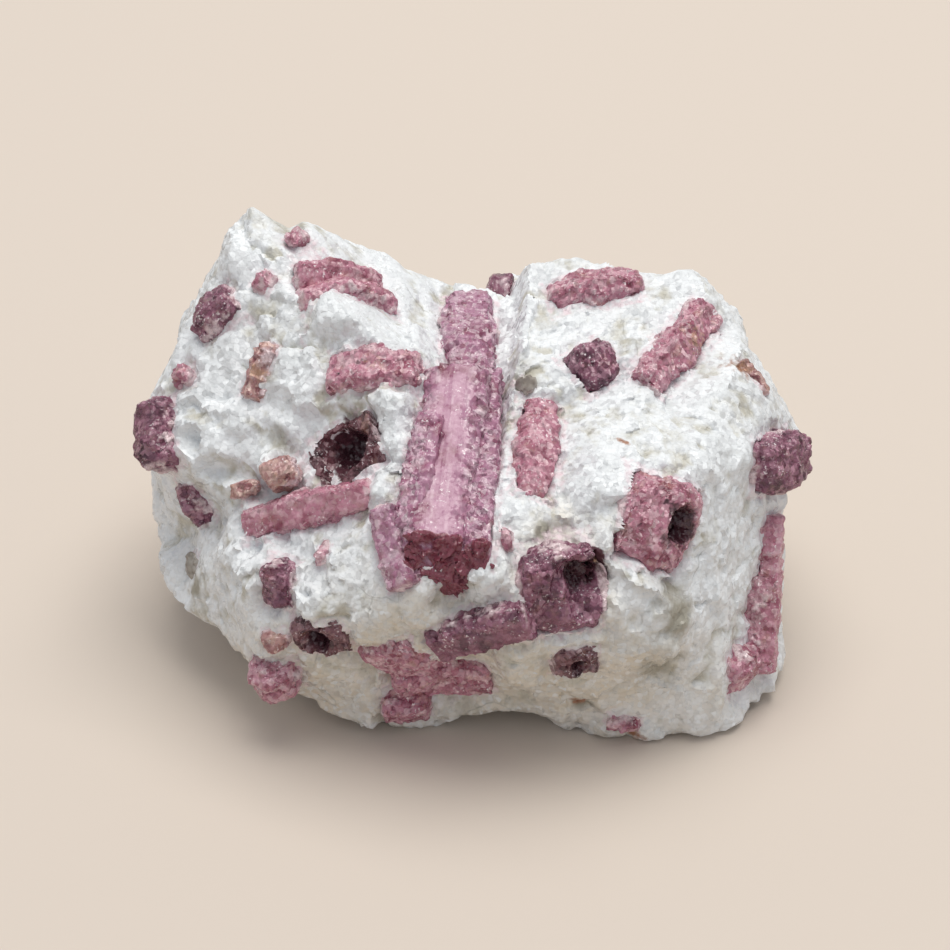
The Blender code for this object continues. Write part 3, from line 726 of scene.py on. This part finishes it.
def make_crystal(name, bars, step, relief):
    """One crystal or cluster: its bars grown into one body, with what its material reads at each point: how
    far along and across it is, how unbroken, how rusty, how far inside the outline, how deep in the pit
    and how surely on a broken end. Each comes from the bar that the point belongs to."""
    bodies = [make_piece(f"{name}_crystal", *crystal_bar(name, bar, step, relief)) for bar in bars]
    crystal = unite(bodies) if len(bodies) > 1 else bodies[0]
    points = mesh_points(crystal)
    places = [place_against(bar, points) for bar in bars]
    nearest = np.argmin([at.outside for at in places], axis=0)
    for quality in ("across", "run"):
        values = np.choose(nearest, [getattr(at, quality) for at in places])
        paint(crystal, quality, values * MM)
    glassy = np.choose(nearest, [glassiness(bar, at) for bar, at in zip(bars, places)])
    paint(crystal, "glassy", glassy)
    rays = points - HEART
    rays /= np.linalg.norm(rays, axis=1, keepdims=True)
    paint(crystal, "rust", np.clip(bells(rays, RUST_SPOTS), 0, 1))
    paint(crystal, "edge", np.clip(-np.min([at.outside for at in places], axis=0), 0, 1))
    pit = sink_pit(points, *PITS[name])[1] if name in PITS else np.zeros(len(points))
    paint(crystal, "pit", pit)
    broken = np.choose(nearest, [broken_end(bar, at) for bar, at in zip(bars, places)])
    paint(crystal, "broken", broken)
    return crystal


# ---------------------------------------------------------------- finishes
MIX_A, MIX_B, MIX_RESULT = 6, 7, 2  # the colour sockets of a Mix node


def linear(hexcode):
    """Linear colour of an sRGB hex code."""
    srgb = np.array([int(hexcode[i:i + 2], 16) / 255 for i in (0, 2, 4)])
    return *np.where(srgb <= 0.04045, srgb / 12.92, ((srgb + 0.055) / 1.055) ** 2.4).tolist(), 1.0


def node(tree, kind, links=None, **settings):
    """Adds a node with its settings. Each link gives an input a value, or the output that feeds it."""
    made = tree.nodes.new(kind)
    for name, value in settings.items():
        setattr(made, name, value)
    for name, value in (links or {}).items():
        if isinstance(value, bpy.types.NodeSocket):
            tree.links.new(value, made.inputs[name])
        else:
            made.inputs[name].default_value = value
    return made


def new_finish(name):
    """A node material with an empty tree but for its output and its shader, and the place of each point."""
    material = bpy.data.materials.new(name)
    material.use_nodes = True
    tree = material.node_tree
    place = node(tree, "ShaderNodeTexCoord").outputs["Object"]
    return material, tree, tree.nodes["Principled BSDF"], place


def blotches(tree, place, size, low, high):
    """Soft blotches about size mm across, from 0 below the low mark of their noise to 1 above the high."""
    noise = node(tree, "ShaderNodeTexNoise", {"Vector": place, "Scale": 1 / (size * MM), "Detail": 3.0})
    edge = {"Value": noise.outputs["Fac"], "From Min": low, "From Max": high}
    return node(tree, "ShaderNodeMapRange", edge, interpolation_type="SMOOTHSTEP").outputs["Result"]


def ragged(tree, place, quality, size, low, high):
    """A painted quality with a ragged edge: noise of size mm is added to it before it is cut."""
    value = node(tree, "ShaderNodeAttribute", attribute_name=quality).outputs["Fac"]
    noise = node(tree, "ShaderNodeTexNoise", {"Vector": place, "Scale": 1 / (size * MM), "Detail": 4.0})
    both = node(tree, "ShaderNodeMath", {0: value, 1: noise.outputs["Fac"]}, operation="ADD").outputs[0]
    edge = {"Value": both, "From Min": low + 0.5, "From Max": high + 0.5}
    return node(tree, "ShaderNodeMapRange", edge, interpolation_type="SMOOTHSTEP").outputs["Result"]


def facets(tree, place, size):
    """Crystal grains about size mm across: the height of each one's own tilted face, in metres, and a
    number from 0 to 1 by chance for each grain."""
    grain = node(tree, "ShaderNodeTexVoronoi", {"Vector": place, "Scale": 1 / (size * MM)})
    away = {0: place, 1: grain.outputs["Position"]}
    away = node(tree, "ShaderNodeVectorMath", away, operation="SUBTRACT")
    tilt = {0: grain.outputs["Color"], 1: (0.5, 0.5, 0.5)}
    tilt = node(tree, "ShaderNodeVectorMath", tilt, operation="SUBTRACT")
    rise = {0: away.outputs[0], 1: tilt.outputs[0]}
    height = node(tree, "ShaderNodeVectorMath", rise, operation="DOT_PRODUCT").outputs["Value"]
    chance = node(tree, "ShaderNodeSeparateColor", {"Color": grain.outputs["Color"]}).outputs["Red"]
    return height, chance


def coats(tree, colour, *over):
    """The colour under coats laid on it in turn, each a colour and the share of it that shows."""
    for coat, share in over:
        sockets = {0: share, MIX_A: colour, MIX_B: coat}
        colour = node(tree, "ShaderNodeMix", sockets, data_type="RGBA").outputs[MIX_RESULT]
    return colour


def sugary_albite(rock):
    """Albite broken by hand: white, in tilted cleavage faces and sugary grains that sparkle a little."""
    material, tree, shader, place = new_finish("sugary white albite")
    # Cleavage grains about 1.8 mm across and the sugar between them, each grain a slightly different white.
    _, broad = facets(tree, place, 1.8)
    broad = node(tree, "ShaderNodeMapRange", {"Value": broad, "From Min": 0.45, "To Max": 0.35})
    height, chance = facets(tree, place, 0.55)
    small = node(tree, "ShaderNodeMapRange", {"Value": chance, "From Min": 0.55, "To Max": 0.4})
    pale = {"Value": chance, "From Max": 0.35, "To Min": 0.7, "To Max": 0.0}
    pale = node(tree, "ShaderNodeMapRange", pale)
    # Cracks along some of the edges of 7 mm blocks, 0.1 mm wide, drawn at 0.2 mm so that they show.
    bend = node(tree, "ShaderNodeTexNoise", {"Vector": place, "Scale": 1 / (4.0 * MM), "Detail": 3.0})
    bent = {0: bend.outputs["Color"], "Scale": 2.5 * MM}
    bent = node(tree, "ShaderNodeVectorMath", bent, operation="SCALE")
    bent = node(tree, "ShaderNodeVectorMath", {0: place, 1: bent.outputs[0]}, operation="ADD").outputs[0]
    blocks = {"Vector": bent, "Scale": 1 / (7.0 * MM)}
    blocks = node(tree, "ShaderNodeTexVoronoi", blocks, feature="DISTANCE_TO_EDGE").outputs["Distance"]
    line = {"Value": blocks, "From Max": 0.02, "To Min": 0.5, "To Max": 0.0}
    line = node(tree, "ShaderNodeMapRange", line).outputs["Result"]
    cracks = {0: line, 1: blotches(tree, place, 7.0, 0.58, 0.66)}
    cracks = node(tree, "ShaderNodeMath", cracks, operation="MULTIPLY").outputs[0]
    colour = coats(
        tree, rock.white,
        # Cool and grey where the mass is denser, so that the white isn't one flat tone.
        (rock.shaded, blotches(tree, place, 6.0, 0.50, 0.80)),
        # Painted shade: warm grey-beige low on the sides, as though lit back from the floor.
        (rock.low_side_shade, ragged(tree, place, "low_shade", 6.0, 0.25, 1.05)),
        # Single grains of either stay clean or turn grey.
        (rock.white, pale.outputs["Result"]),
        (rock.shaded, broad.outputs["Result"]),
        (rock.shaded, small.outputs["Result"]),
        # Painted shade between the chips, where they lie deepest.
        (rock.chip_shade, ragged(tree, place, "hollow", 1.5, 0.50, 1.10)),
        # Smoky quartz patches, glassier and darker; the one in the hollow beside the main prism's foot is
        # partly painted shade.
        (rock.smoky, ragged(tree, place, "grey", 2.5, 0.35, 0.85)),
        # The pink that fine tourmaline grains give the albite beside a crystal.
        (rock.fringe, ragged(tree, place, "fringe", 0.8, 0.8, 1.3)),
        # Iron stain in spots.
        (rock.rust, ragged(tree, place, "rust", 0.9, 0.3, 0.7)),
        (rock.pores, cracks),
        # Open pores between the grains, under 0.3 mm, drawn at 0.5 mm so that they show.
        (rock.pores, blotches(tree, place, 0.5, 0.73, 0.85)),
        # The tourmaline that lines the pits.
        (rock.lining, ragged(tree, place, "pit", 0.8, 0.2, 0.5)),
    )
    # Some grains catch the light as small glints: their roughness falls from 0.7 to 0.2 by chance.
    gloss = node(tree, "ShaderNodeMapRange", {"Value": chance, "To Min": 0.7, "To Max": 0.2})
    sugar = node(tree, "ShaderNodeTexNoise", {"Vector": place, "Scale": 1 / (0.4 * MM), "Detail": 4.0})
    relief = node(tree, "ShaderNodeBump", {"Height": height, "Strength": 0.7, "Distance": 1.0})
    relief = node(tree, "ShaderNodeBump", {
        "Height": sugar.outputs["Fac"], "Strength": 0.6, "Distance": 0.16 * MM,
        "Normal": relief.outputs["Normal"],
    })
    tree.links.new(colour, shader.inputs["Base Color"])
    tree.links.new(gloss.outputs["Result"], shader.inputs["Roughness"])
    tree.links.new(relief.outputs["Normal"], shader.inputs["Normal"])
    shader.inputs["IOR"].default_value = 1.53
    return material


# How each tone of tourmaline is shaded: its deepest and palest colour, and how rusty it is from 0 to 1.
Tone = namedtuple("Tone", "label deep pale rust")
TONES = {
    "lilac": Tone("lilac pink tourmaline", "8A4762", "F0DAE1", 0.15),
    "pink": Tone("rose pink tourmaline", "8F4258", "EFCFD4", 0.3),
    "plum": Tone("plum tourmaline", "4C2236", "C694A6", 0.15),
    "maroon": Tone("maroon tourmaline", "3A1A22", "B08A90", 0.25),
    "brown": Tone("brown-pink tourmaline", "8C545A", "EACFC2", 0.45),
}


def tourmaline(tone, base, crystals):
    """Tourmaline, a glassy silicate: unbroken prism is smooth and striped lengthwise, and elsewhere it has
    crumbled to sharp sparkling grains, each with its own tone. Its pale stripes are painted highlights
    and its white specks painted glints."""
    label, deep, pale, rust = TONES[tone]
    material, tree, shader, place = new_finish(label)
    glassy = node(tree, "ShaderNodeAttribute", attribute_name="glassy").outputs["Fac"]
    crumbly = node(tree, "ShaderNodeMath", {0: 1.0, 1: glassy}, operation="SUBTRACT").outputs[0]
    # Grains about 0.6 mm across, each paler or deeper by chance.
    height, chance = facets(tree, place, 0.6)
    bright = {"Value": chance, "From Min": 0.5, "To Max": 0.6}
    bright = node(tree, "ShaderNodeMapRange", bright).outputs["Result"]
    bright = node(tree, "ShaderNodeMath", {0: bright, 1: crumbly}, operation="MULTIPLY").outputs[0]
    dark = {"Value": chance, "From Max": 0.3, "To Min": 0.6, "To Max": 0.0}
    dark = node(tree, "ShaderNodeMapRange", dark).outputs["Result"]
    dark = node(tree, "ShaderNodeMath", {0: dark, 1: crumbly}, operation="MULTIPLY").outputs[0]
    # Lengthwise stripes 0.4 mm wide, strongest on unbroken prism; their pale colour is a painted highlight
    # along the ridges.
    across = node(tree, "ShaderNodeAttribute", attribute_name="across").outputs["Fac"]
    run = node(tree, "ShaderNodeAttribute", attribute_name="run").outputs["Fac"]
    drawn = node(tree, "ShaderNodeMath", {0: run, 1: 0.06}, operation="MULTIPLY").outputs[0]
    lengthwise = node(tree, "ShaderNodeCombineXYZ", {"X": across, "Y": drawn}).outputs["Vector"]
    stripe = {"Vector": lengthwise, "Scale": 1 / (0.8 * MM), "Detail": 4.0}
    stripe = node(tree, "ShaderNodeTexNoise", stripe).outputs["Fac"]
    light = {"Value": stripe, "From Min": 0.5, "From Max": 0.72, "To Max": 0.6}
    light = node(tree, "ShaderNodeMapRange", light).outputs["Result"]
    fibrous = node(tree, "ShaderNodeMapRange", {"Value": glassy, "To Min": 0.5}).outputs["Result"]
    striped = node(tree, "ShaderNodeMath", {0: light, 1: fibrous}, operation="MULTIPLY").outputs[0]
    striped = {0: striped, 1: blotches(tree, place, 1.4, 0.40, 0.58)}
    striped = node(tree, "ShaderNodeMath", striped, operation="MULTIPLY").outputs[0]
    # Orange-brown iron stain in the crumbled parts.
    stain = node(tree, "ShaderNodeMath", {0: crumbly, 1: rust}, operation="MULTIPLY").outputs[0]
    stain = {0: blotches(tree, place, 1.6, 0.56, 0.72), 1: stain}
    stain = node(tree, "ShaderNodeMath", stain, operation="MULTIPLY").outputs[0]
    cloud = {0: blotches(tree, place, 1.5, 0.53, 0.80), 1: crumbly}
    cloud = node(tree, "ShaderNodeMath", cloud, operation="MULTIPLY").outputs[0]
    # Painted glints: white specks in clusters, under 0.1 mm, drawn at 0.3 mm so that they show.
    painted_glints = {0: blotches(tree, place, 0.3, 0.58, 0.70), 1: blotches(tree, place, 2.0, 0.46, 0.62)}
    painted_glints = node(tree, "ShaderNodeMath", painted_glints, operation="MULTIPLY").outputs[0]
    # Albite crumbs left on the edges.
    bare = ragged(tree, place, "edge", 0.9, -0.1, 0.3)
    crumbs = node(tree, "ShaderNodeMath", {0: 1.0, 1: bare}, operation="SUBTRACT").outputs[0]
    colour = coats(
        tree, base,
        # Zones of deeper colour, 2 to 3 mm across, where the crystal took up more manganese.
        (linear(deep), blotches(tree, place, 2.4, 0.46, 0.70)),
        # Paler zones, clouded by cracks inside.
        (linear(pale), cloud),
        (linear(pale), bright),
        (linear(deep), dark),
        # Painted highlights along the stripes.
        (linear(pale), striped),
        # The painted glints.
        (linear("F8ECEE"), painted_glints),
        (crystals.stain, stain),
        (crystals.stain, ragged(tree, place, "rust", 0.7, 0.35, 0.75)),
        (crystals.crumbs, crumbs),
        # Pits and the broken end are deep in colour, because light is lost between their faces.
        (crystals.pits, ragged(tree, place, "pit", 1.0, 0.15, 0.55)),
        (crystals.broken, ragged(tree, place, "broken", 1.0, 0.4, 0.8)),
    )
    fine, glint = facets(tree, place, 0.35)
    gloss = node(tree, "ShaderNodeMapRange", {"Value": glint, "To Min": 0.45, "To Max": 0.08})
    strength = node(tree, "ShaderNodeMapRange", {"Value": glassy, "To Min": 0.8, "To Max": 0.12})
    strength = strength.outputs["Result"]
    relief = node(tree, "ShaderNodeBump", {"Height": height, "Strength": strength, "Distance": 1.0})
    relief = node(tree, "ShaderNodeBump", {
        "Height": fine, "Strength": strength, "Distance": 1.0, "Normal": relief.outputs["Normal"],
    })
    relief = node(tree, "ShaderNodeBump", {
        "Height": stripe, "Strength": fibrous, "Distance": 0.12 * MM, "Normal": relief.outputs["Normal"],
    })
    tree.links.new(colour, shader.inputs["Base Color"])
    tree.links.new(gloss.outputs["Result"], shader.inputs["Roughness"])
    tree.links.new(relief.outputs["Normal"], shader.inputs["Normal"])
    shader.inputs["IOR"].default_value = 1.63
    return material


def smoky_quartz(base):
    """Smoky quartz: a grey, greasy-looking glass whose broken faces are curved and shiny."""
    material, tree, shader, place = new_finish("smoky quartz")
    colour = coats(tree, base, (linear("958B80"), blotches(tree, place, 1.5, 0.4, 0.7)))
    height, _ = facets(tree, place, 1.1)
    relief = node(tree, "ShaderNodeBump", {"Height": height, "Strength": 0.4, "Distance": 1.0})
    tree.links.new(colour, shader.inputs["Base Color"])
    tree.links.new(relief.outputs["Normal"], shader.inputs["Normal"])
    shader.inputs["Roughness"].default_value = 0.22
    shader.inputs["IOR"].default_value = 1.544
    shader.inputs["Transmission Weight"].default_value = 0.25
    return material


def matt_paper(base):
    """The floor: plain matt paper, which gives the light back softly."""
    material, tree, shader, _ = new_finish("matt paper")
    shader.inputs["Base Color"].default_value = base
    shader.inputs["Roughness"].default_value = 0.9
    return material


# ---------------------------------------------------------------- settings
def colour_setting(name, description, hexcode):
    """A colour that a user may change."""
    return bpy.props.FloatVectorProperty(
        name=name, description=description, default=linear(hexcode), size=4, subtype="COLOR", min=0, max=1)


class RockSettings(bpy.types.PropertyGroup):
    """The lump of albite."""

    cells: bpy.props.IntProperty(
        name="Cells", description="Cells across each of the six faces that the surface is wrapped on",
        default=129, min=16, max=129)
    relief: bpy.props.FloatProperty(
        name="Relief", description="Height of the fine chips, against their usual height",
        default=1.0, min=0, max=1.5, subtype="FACTOR")
    white: colour_setting("White", "Clean albite", "EFF2F4")
    shaded: colour_setting("Shaded", "Denser, cooler albite", "D6D9DA")
    # Painted shade between the chips.
    chip_shade: colour_setting("Crevice", "Between the chips", "C2BEB0")
    # Painted shade low on the sides, warm beige.
    low_side_shade: colour_setting("Weathered", "Beige weathering low on the sides", "DAD0BE")
    smoky: colour_setting("Smoky", "Patches of smoky quartz", "A39E90")
    fringe: colour_setting("Fringe", "Pink beside the crystals", "E4CFD5")
    rust: colour_setting("Rust", "Iron stain", "9F6F54")
    pores: colour_setting("Pores", "Cracks and open pores between grains", "8E8C82")
    lining: colour_setting("Lining", "Tourmaline at the bottom of the pits", "5A323C")


class CrystalSettings(bpy.types.PropertyGroup):
    """The tourmaline and quartz grown through the lump."""

    step: bpy.props.FloatProperty(
        name="Step", description="Distance between the points of a crystal's surface",
        default=0.26 * MM, min=0.1 * MM, max=MM, subtype="DISTANCE", unit="LENGTH", precision=5)
    relief: bpy.props.FloatProperty(
        name="Relief", description="Height of the crumbled grains, against their usual height",
        default=1.0, min=0, max=1.5, subtype="FACTOR")
    lilac: colour_setting("Lilac", "Unbroken prisms", "B37F99")
    pink: colour_setting("Pink", "Most of the crystals", "C08194")
    plum: colour_setting("Plum", "The darker purple crystals", "824B61")
    maroon: colour_setting("Maroon", "The pitted crystals", "6E3F48")
    brown: colour_setting("Brown", "The stained crystals", "BE8F8C")
    quartz: colour_setting("Quartz", "Loose grains of quartz", "C4BDB3")
    stain: colour_setting("Stain", "Iron stain in the crystals", "C79E84")
    crumbs: colour_setting("Crumbs", "Albite left on the crystals", "E4CDD0")
    pits: colour_setting("Pits", "The bottom of a pit", "4A2831")
    broken: colour_setting("Broken", "The broken end of the main prism", "84404F")


class StageSettings(bpy.types.PropertyGroup):
    """The floor, the light and the camera."""

    floor: bpy.props.FloatProperty(
        name="Floor", description="Width of the floor",
        default=3.0, min=0.5, subtype="DISTANCE", unit="LENGTH")
    paper: colour_setting("Paper", "The floor's colour", "D5C9BD")
    key: bpy.props.FloatProperty(
        name="Key", description="Power of the large soft lamp overhead", default=6.3, min=0, unit="POWER")
    fill: bpy.props.FloatProperty(
        name="Fill", description="Strength of the light from all round", default=0.53, min=0)
    distance: bpy.props.FloatProperty(
        name="Distance", description="From the camera to the specimen",
        default=0.45, min=0.1, subtype="DISTANCE", unit="LENGTH")
    elevation: bpy.props.FloatProperty(
        name="Elevation", description="How far the camera looks down",
        default=math.radians(35), min=0, max=math.pi / 2, subtype="ANGLE", unit="ROTATION")
    lens: bpy.props.FloatProperty(
        name="Lens", description="Focal length, in mm", default=150, min=10)


# ---------------------------------------------------------------- operators
class SPECIMEN_OT_albite_lump(bpy.types.Operator):
    """Build the lump of albite and its finish"""

    bl_idname = "specimen.albite_lump"
    bl_label = "Albite Lump"

    def execute(self, context):
        rock = context.scene.specimen_rock
        made = make_rock(rock.cells, rock.relief)
        place_piece(made, "matrix", sugary_albite(rock))
        return {"FINISHED"}


def grow_crystals(context, tone):
    """Builds every crystal of a tone of tourmaline, or every grain of quartz, with one finish."""
    crystals = context.scene.specimen_crystals
    if tone == "quartz":
        slot, finish = "quartz", smoky_quartz(crystals.quartz)
    else:
        slot, finish = f"{tone}_tourmaline", tourmaline(tone, getattr(crystals, tone), crystals)
    for name, (its_tone, bars) in GROWN.items():
        if its_tone == tone:
            made = make_crystal(name, bars, crystals.step / MM, crystals.relief)
            place_piece(made, name, finish)
    return {"FINISHED"}


class SPECIMEN_OT_lilac_prisms(bpy.types.Operator):
    """Build the large unbroken prisms"""

    bl_idname = "specimen.lilac_prisms"
    bl_label = "Lilac Prisms"

    def execute(self, context):
        return grow_crystals(context, "lilac")


class SPECIMEN_OT_pink_crystals(bpy.types.Operator):
    """Build the pink crystals"""

    bl_idname = "specimen.pink_crystals"
    bl_label = "Pink Crystals"

    def execute(self, context):
        return grow_crystals(context, "pink")


class SPECIMEN_OT_plum_crystals(bpy.types.Operator):
    """Build the dark purple crystals"""

    bl_idname = "specimen.plum_crystals"
    bl_label = "Plum Crystals"

    def execute(self, context):
        return grow_crystals(context, "plum")


class SPECIMEN_OT_maroon_crystals(bpy.types.Operator):
    """Build the pitted maroon crystals"""

    bl_idname = "specimen.maroon_crystals"
    bl_label = "Maroon Crystals"

    def execute(self, context):
        return grow_crystals(context, "maroon")


class SPECIMEN_OT_brown_crystals(bpy.types.Operator):
    """Build the iron-stained crystals"""

    bl_idname = "specimen.brown_crystals"
    bl_label = "Brown Crystals"

    def execute(self, context):
        return grow_crystals(context, "brown")


class SPECIMEN_OT_quartz_grains(bpy.types.Operator):
    """Build the grains of smoky quartz"""

    bl_idname = "specimen.quartz_grains"
    bl_label = "Quartz Grains"

    def execute(self, context):
        return grow_crystals(context, "quartz")


class SPECIMEN_OT_stage(bpy.types.Operator):
    """Set up the floor, the light and the camera"""

    bl_idname = "specimen.stage"
    bl_label = "Stage"

    def execute(self, context):
        stage = context.scene.specimen_stage
        make_floor(stage)
        make_lights(context.scene, stage)
        make_camera(context.scene, stage)
        return {"FINISHED"}


AIM = Vector((0.1, 2.1, 18.3)) * MM  # the point that the camera looks at
LAMP_PLACE = Vector((0.08, 0.16, 0.85))  # in metres: overhead, a little behind and to the right
LAMP_WIDTH = 0.7
LAMP_WHITE = "FFFCF6"
SKY_WHITE = "F6F9FF"
FILM_WIDTH = 36  # mm


def make_floor(stage):
    """A flat square of plain paper under the specimen."""
    half = stage.floor / 2
    mesh = bpy.data.meshes.new("floor")
    corners = [(-half, -half, 0), (half, -half, 0), (half, half, 0), (-half, half, 0)]
    mesh.from_pydata(corners, [], [(0, 1, 2, 3)])
    mesh.materials.append(matt_paper(stage.paper))
    floor = bpy.data.objects.new("floor", mesh)
    bpy.context.scene.collection.objects.link(floor)


def aim(made, place):
    """Puts a lamp or the camera at a place, facing the specimen."""
    made.location = place
    made.rotation_euler = (AIM - place).to_track_quat("-Z", "Y").to_euler()
    bpy.context.scene.collection.objects.link(made)


def make_lights(scene, stage):
    """A large soft lamp above and a little behind, and even light from all round."""
    lamp = bpy.data.lights.new("key", "AREA")
    lamp.energy = stage.key
    lamp.size = LAMP_WIDTH
    lamp.color = linear(LAMP_WHITE)[:3]
    aim(bpy.data.objects.new("key", lamp), LAMP_PLACE)
    world = bpy.data.worlds.new("studio")
    world.use_nodes = True
    background = world.node_tree.nodes["Background"]
    background.inputs["Color"].default_value = linear(SKY_WHITE)
    background.inputs["Strength"].default_value = stage.fill
    scene.world = world
    scene.view_settings.view_transform = "Standard"


def make_camera(scene, stage):
    """A long lens that looks down at the specimen from the front."""
    data = bpy.data.cameras.new("camera")
    data.lens = stage.lens
    data.sensor_width = FILM_WIDTH
    made = bpy.data.objects.new("camera", data)
    back = Vector((0, -math.cos(stage.elevation), math.sin(stage.elevation)))
    aim(made, AIM + back * stage.distance)
    scene.camera = made


# ---------------------------------------------------------------- the sidebar
BUILDERS = (
    SPECIMEN_OT_albite_lump,
    SPECIMEN_OT_lilac_prisms,
    SPECIMEN_OT_pink_crystals,
    SPECIMEN_OT_plum_crystals,
    SPECIMEN_OT_maroon_crystals,
    SPECIMEN_OT_brown_crystals,
    SPECIMEN_OT_quartz_grains,
    SPECIMEN_OT_stage,
)
SETTINGS = {
    "specimen_rock": RockSettings,
    "specimen_crystals": CrystalSettings,
    "specimen_stage": StageSettings,
}


class SPECIMEN_PT_panel(bpy.types.Panel):
    """The settings and the operators, in the order in which they run"""

    bl_label = "Pink Tourmaline Specimen"
    bl_idname = "SPECIMEN_PT_panel"
    bl_space_type = "VIEW_3D"
    bl_region_type = "UI"
    bl_category = "Specimen"

    def draw(self, context):
        for group, kind in SETTINGS.items():
            column = self.layout.column()
            for setting in kind.__annotations__:
                column.prop(getattr(context.scene, group), setting)
        for builder in BUILDERS:
            self.layout.operator(builder.bl_idname)


def register():
    for kind in (*SETTINGS.values(), *BUILDERS, SPECIMEN_PT_panel):
        bpy.utils.register_class(kind)
    for group, kind in SETTINGS.items():
        setattr(bpy.types.Scene, group, bpy.props.PointerProperty(type=kind))


def unregister():
    for group in SETTINGS:
        delattr(bpy.types.Scene, group)
    for kind in reversed((*SETTINGS.values(), *BUILDERS, SPECIMEN_PT_panel)):
        bpy.utils.unregister_class(kind)


def main():
    """Registers the add-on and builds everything."""
    register()
    for builder in BUILDERS:
        group, name = builder.bl_idname.split(".")
        getattr(getattr(bpy.ops, group), name)()


if __name__ == "__main__":
    main()
